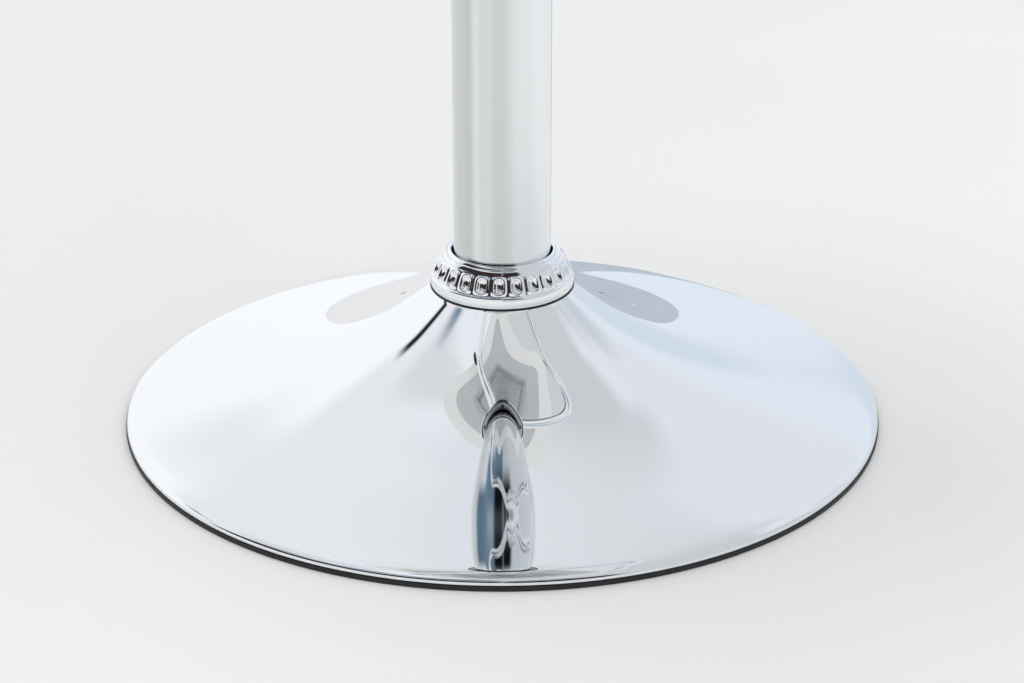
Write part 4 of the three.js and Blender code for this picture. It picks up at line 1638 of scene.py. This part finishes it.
@dataclass
class Studio:
    """The floor, the surroundings that the chrome mirrors, the lamps and the camera."""

    turn: float = 30.0
    camera_place: tuple[float, float, float] = (0.0, -1.143736, 0.543724)
    pitch: float = 0.4169
    yaw: float = 0.0044
    roll: float = -0.0011
    lens: float = 84.06
    floor_half: float = 2.2
    # The card's corners as the camera sees them: near left, near right, far left, far right
    card_corners: tuple[Point, ...] = ((0.0, 0.15), (0.065, 0.15), (0.0, 2.1), (0.9, 2.1))
    walls: tuple[float, float, float, float] = colour(240, 242, 246)
    patches: tuple[Patch, ...] = (
        Patch(colour(230, 233, 237), (-25, 200), (-95, 95), (30, 4)),
        Patch(colour(207, 211, 214), (20, 200), (-95, 95), (50, 4)),
        Patch(colour(256, 257, 260), (-75, -22), (-60, 40), (14, 12)),
        Patch(colour(256, 257, 260), (-30, 0), (-60, 27), (12, 9)),
        Patch(colour(238, 240, 241), (-48, -11), (38, 57), (14, 7)),
        Patch(colour(223, 226, 229), (-85, -46), (50, 72), (16, 7)),
        Patch(colour(230, 238, 248), (0, 75), (-60, 37), (8, 10)),
        Patch(colour(231, 233, 239), (8, 60), (28, 46), (14, 7)),
        Patch(colour(217, 227, 240), (17, 75), (-6, 19), (6, 6)),
        Patch(colour(232, 236, 241), (36, 68), (44, 51), (14, 6)),
        Patch(colour(206, 214, 224), (46, 62), (26, 39), (12, 8)),
        Patch(colour(112, 136, 156), (-181, -110), (50, 65), (14, 8)),
        Patch(colour(112, 136, 156), (-181, -145), (60, 76), (14, 8)),
        Patch(colour(112, 136, 156), (-125, -76), (49, 56), (14, 5)),
        Patch(colour(22, 22, 24), (150, 181), (49, 59), (14, 8)),
        Patch(colour(22, 22, 24), (-181, -148), (49, 59), (14, 8)),
        Patch(colour(54, 45, 46), (146, 181), (9, 43), (10, 4)),
        Patch(colour(54, 45, 46), (-181, -88), (9, 43), (8, 4)),
        Patch(colour(30, 31, 34), (-70, -50), (38.5, 42), (8, 2.5)),
        Patch(colour(239, 240, 241), (-400, 400), (-95, -2.5), (8, 2)),
        Patch(colour(214, 218, 223), (80, 190), (-95, -2.5), (90, 2), 0.8),
        Patch(colour(208, 213, 219), (-140, -70), (-95, -2.5), (60, 2), 0.7),
    )

    def surroundings(self) -> None:
        """Paints the world from soft patches by direction."""
        world = bpy.data.worlds.new("studio")
        bpy.context.scene.world = world
        world.use_nodes = True
        board = Board(world.node_tree)
        direction = board.place(turn=(0.0, 0.0, math.radians(self.turn)), source="Generated")
        split = board.add("ShaderNodeSeparateXYZ", {}, {"Vector": direction})
        x, y, z = (Value(board, output) for output in split.outputs)
        azimuth = x.maths("ARCTAN2", y) * math.degrees(1)
        elevation = z.maths("ARCSINE") * math.degrees(1)
        tone: object = self.walls
        for patch in self.patches:
            across = azimuth.within(*patch.azimuth, patch.soft[0])
            up = elevation.within(*patch.elevation, patch.soft[1])
            tone = board.mixed(across * up * patch.strength, tone, patch.tone)
        light = board.add("ShaderNodeBackground", {}, {"Color": tone, "Strength": 1.0})
        board.add("ShaderNodeOutputWorld", {}, {"Surface": light.outputs[0]})

    def lay_floor(self) -> None:
        """Lays the floor paper."""
        Workbench.clear()
        bpy.ops.mesh.primitive_plane_add(size=2 * self.floor_half, location=(0, 0, 0))
        floor = bpy.context.active_object
        floor.name = "studio_floor"
        floor.data.materials.append(FLOOR.material())

    def lay_card(self) -> None:
        """Lays a slate card behind the stool to the right, which only the chrome shows."""
        Workbench.clear()
        turned = Matrix.Rotation(-math.radians(self.turn), 4, "Z")
        bpy.ops.mesh.primitive_plane_add(size=1, location=(0, 0, 0))
        card = bpy.context.active_object
        card.name = "slate_card"
        for vertex, corner in zip(card.data.vertices, self.card_corners):
            vertex.co = turned @ Vector((*corner, MM))
        card.data.materials.append(SLATE.material())
        card.visible_camera = card.visible_diffuse = card.visible_shadow = False

    def hang_lamp(self, name: str, azimuth: float, elevation: float, distance: float, size: float,
                  power: float) -> None:
        """Hangs a soft lamp that no mirror shows.

        Args:
            name: The lamp's name.
            azimuth: Its direction in degrees, as for a patch.
            elevation: Its elevation in degrees.
            distance: Its distance in metres.
            size: Its width in metres.
            power: Its power in watts.
        """
        heading = math.radians(azimuth + self.turn)
        rise = math.radians(elevation)
        way = Vector((math.sin(heading) * math.cos(rise), math.cos(heading) * math.cos(rise), math.sin(rise)))
        data = bpy.data.lights.new(name, "AREA")
        data.shape = "DISK"
        data.size = size
        data.energy = power
        lamp = bpy.data.objects.new(name, data)
        bpy.context.scene.collection.objects.link(lamp)
        lamp.location = way * distance
        lamp.rotation_euler = way.to_track_quat("Z", "Y").to_euler()
        lamp.visible_glossy = False

    def stand_camera(self) -> None:
        """Stands the camera where the picture was taken from."""
        data = bpy.data.cameras.new("picture_camera")
        data.sensor_width = 36.0
        data.lens = self.lens
        data.clip_start = 0.01
        camera = bpy.data.objects.new("picture_camera", data)
        bpy.context.scene.collection.objects.link(camera)
        turned = Matrix.Rotation(-math.radians(self.turn), 4, "Z")
        tilt = Matrix.Rotation(math.radians(90) - self.pitch, 4, "X")
        heading = Matrix.Rotation(-self.yaw, 4, "Z")
        lean = Matrix.Rotation(self.roll, 4, "Z")
        camera.matrix_world = turned @ Matrix.Translation(self.camera_place) @ heading @ tilt @ lean
        bpy.context.scene.camera = camera

    def build(self) -> None:
        """Builds the studio."""
        self.surroundings()
        self.lay_floor()
        self.lay_card()
        self.hang_lamp("key_lamp", -60, 80, 6.0, 2.4, 55)
        self.hang_lamp("front_lamp", 170, 50, 4.5, 4.0, 36)
        self.hang_lamp("right_lamp", 95, 58, 5.0, 4.0, 33)
        self.hang_lamp("left_lamp", -110, 62, 6.0, 4.0, 19)
        self.stand_camera()
        bpy.context.scene.view_settings.view_transform = "Standard"


def main() -> None:
    """Builds the stool's looks, piece by piece."""
    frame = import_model()
    Studio().build()
    Foot().build(frame)
    Collar().build()
    Column().build(frame)
    GasLift().build(frame)
    BellSleeve().build(frame)
    Footrest().build()
    SeatFrame().build(frame)
    ReleaseLever().build()
    SeatPad().build(frame)


if __name__ == "__main__":
    logging.basicConfig(level=logging.INFO, format="%(name)s: %(message)s")
    main()
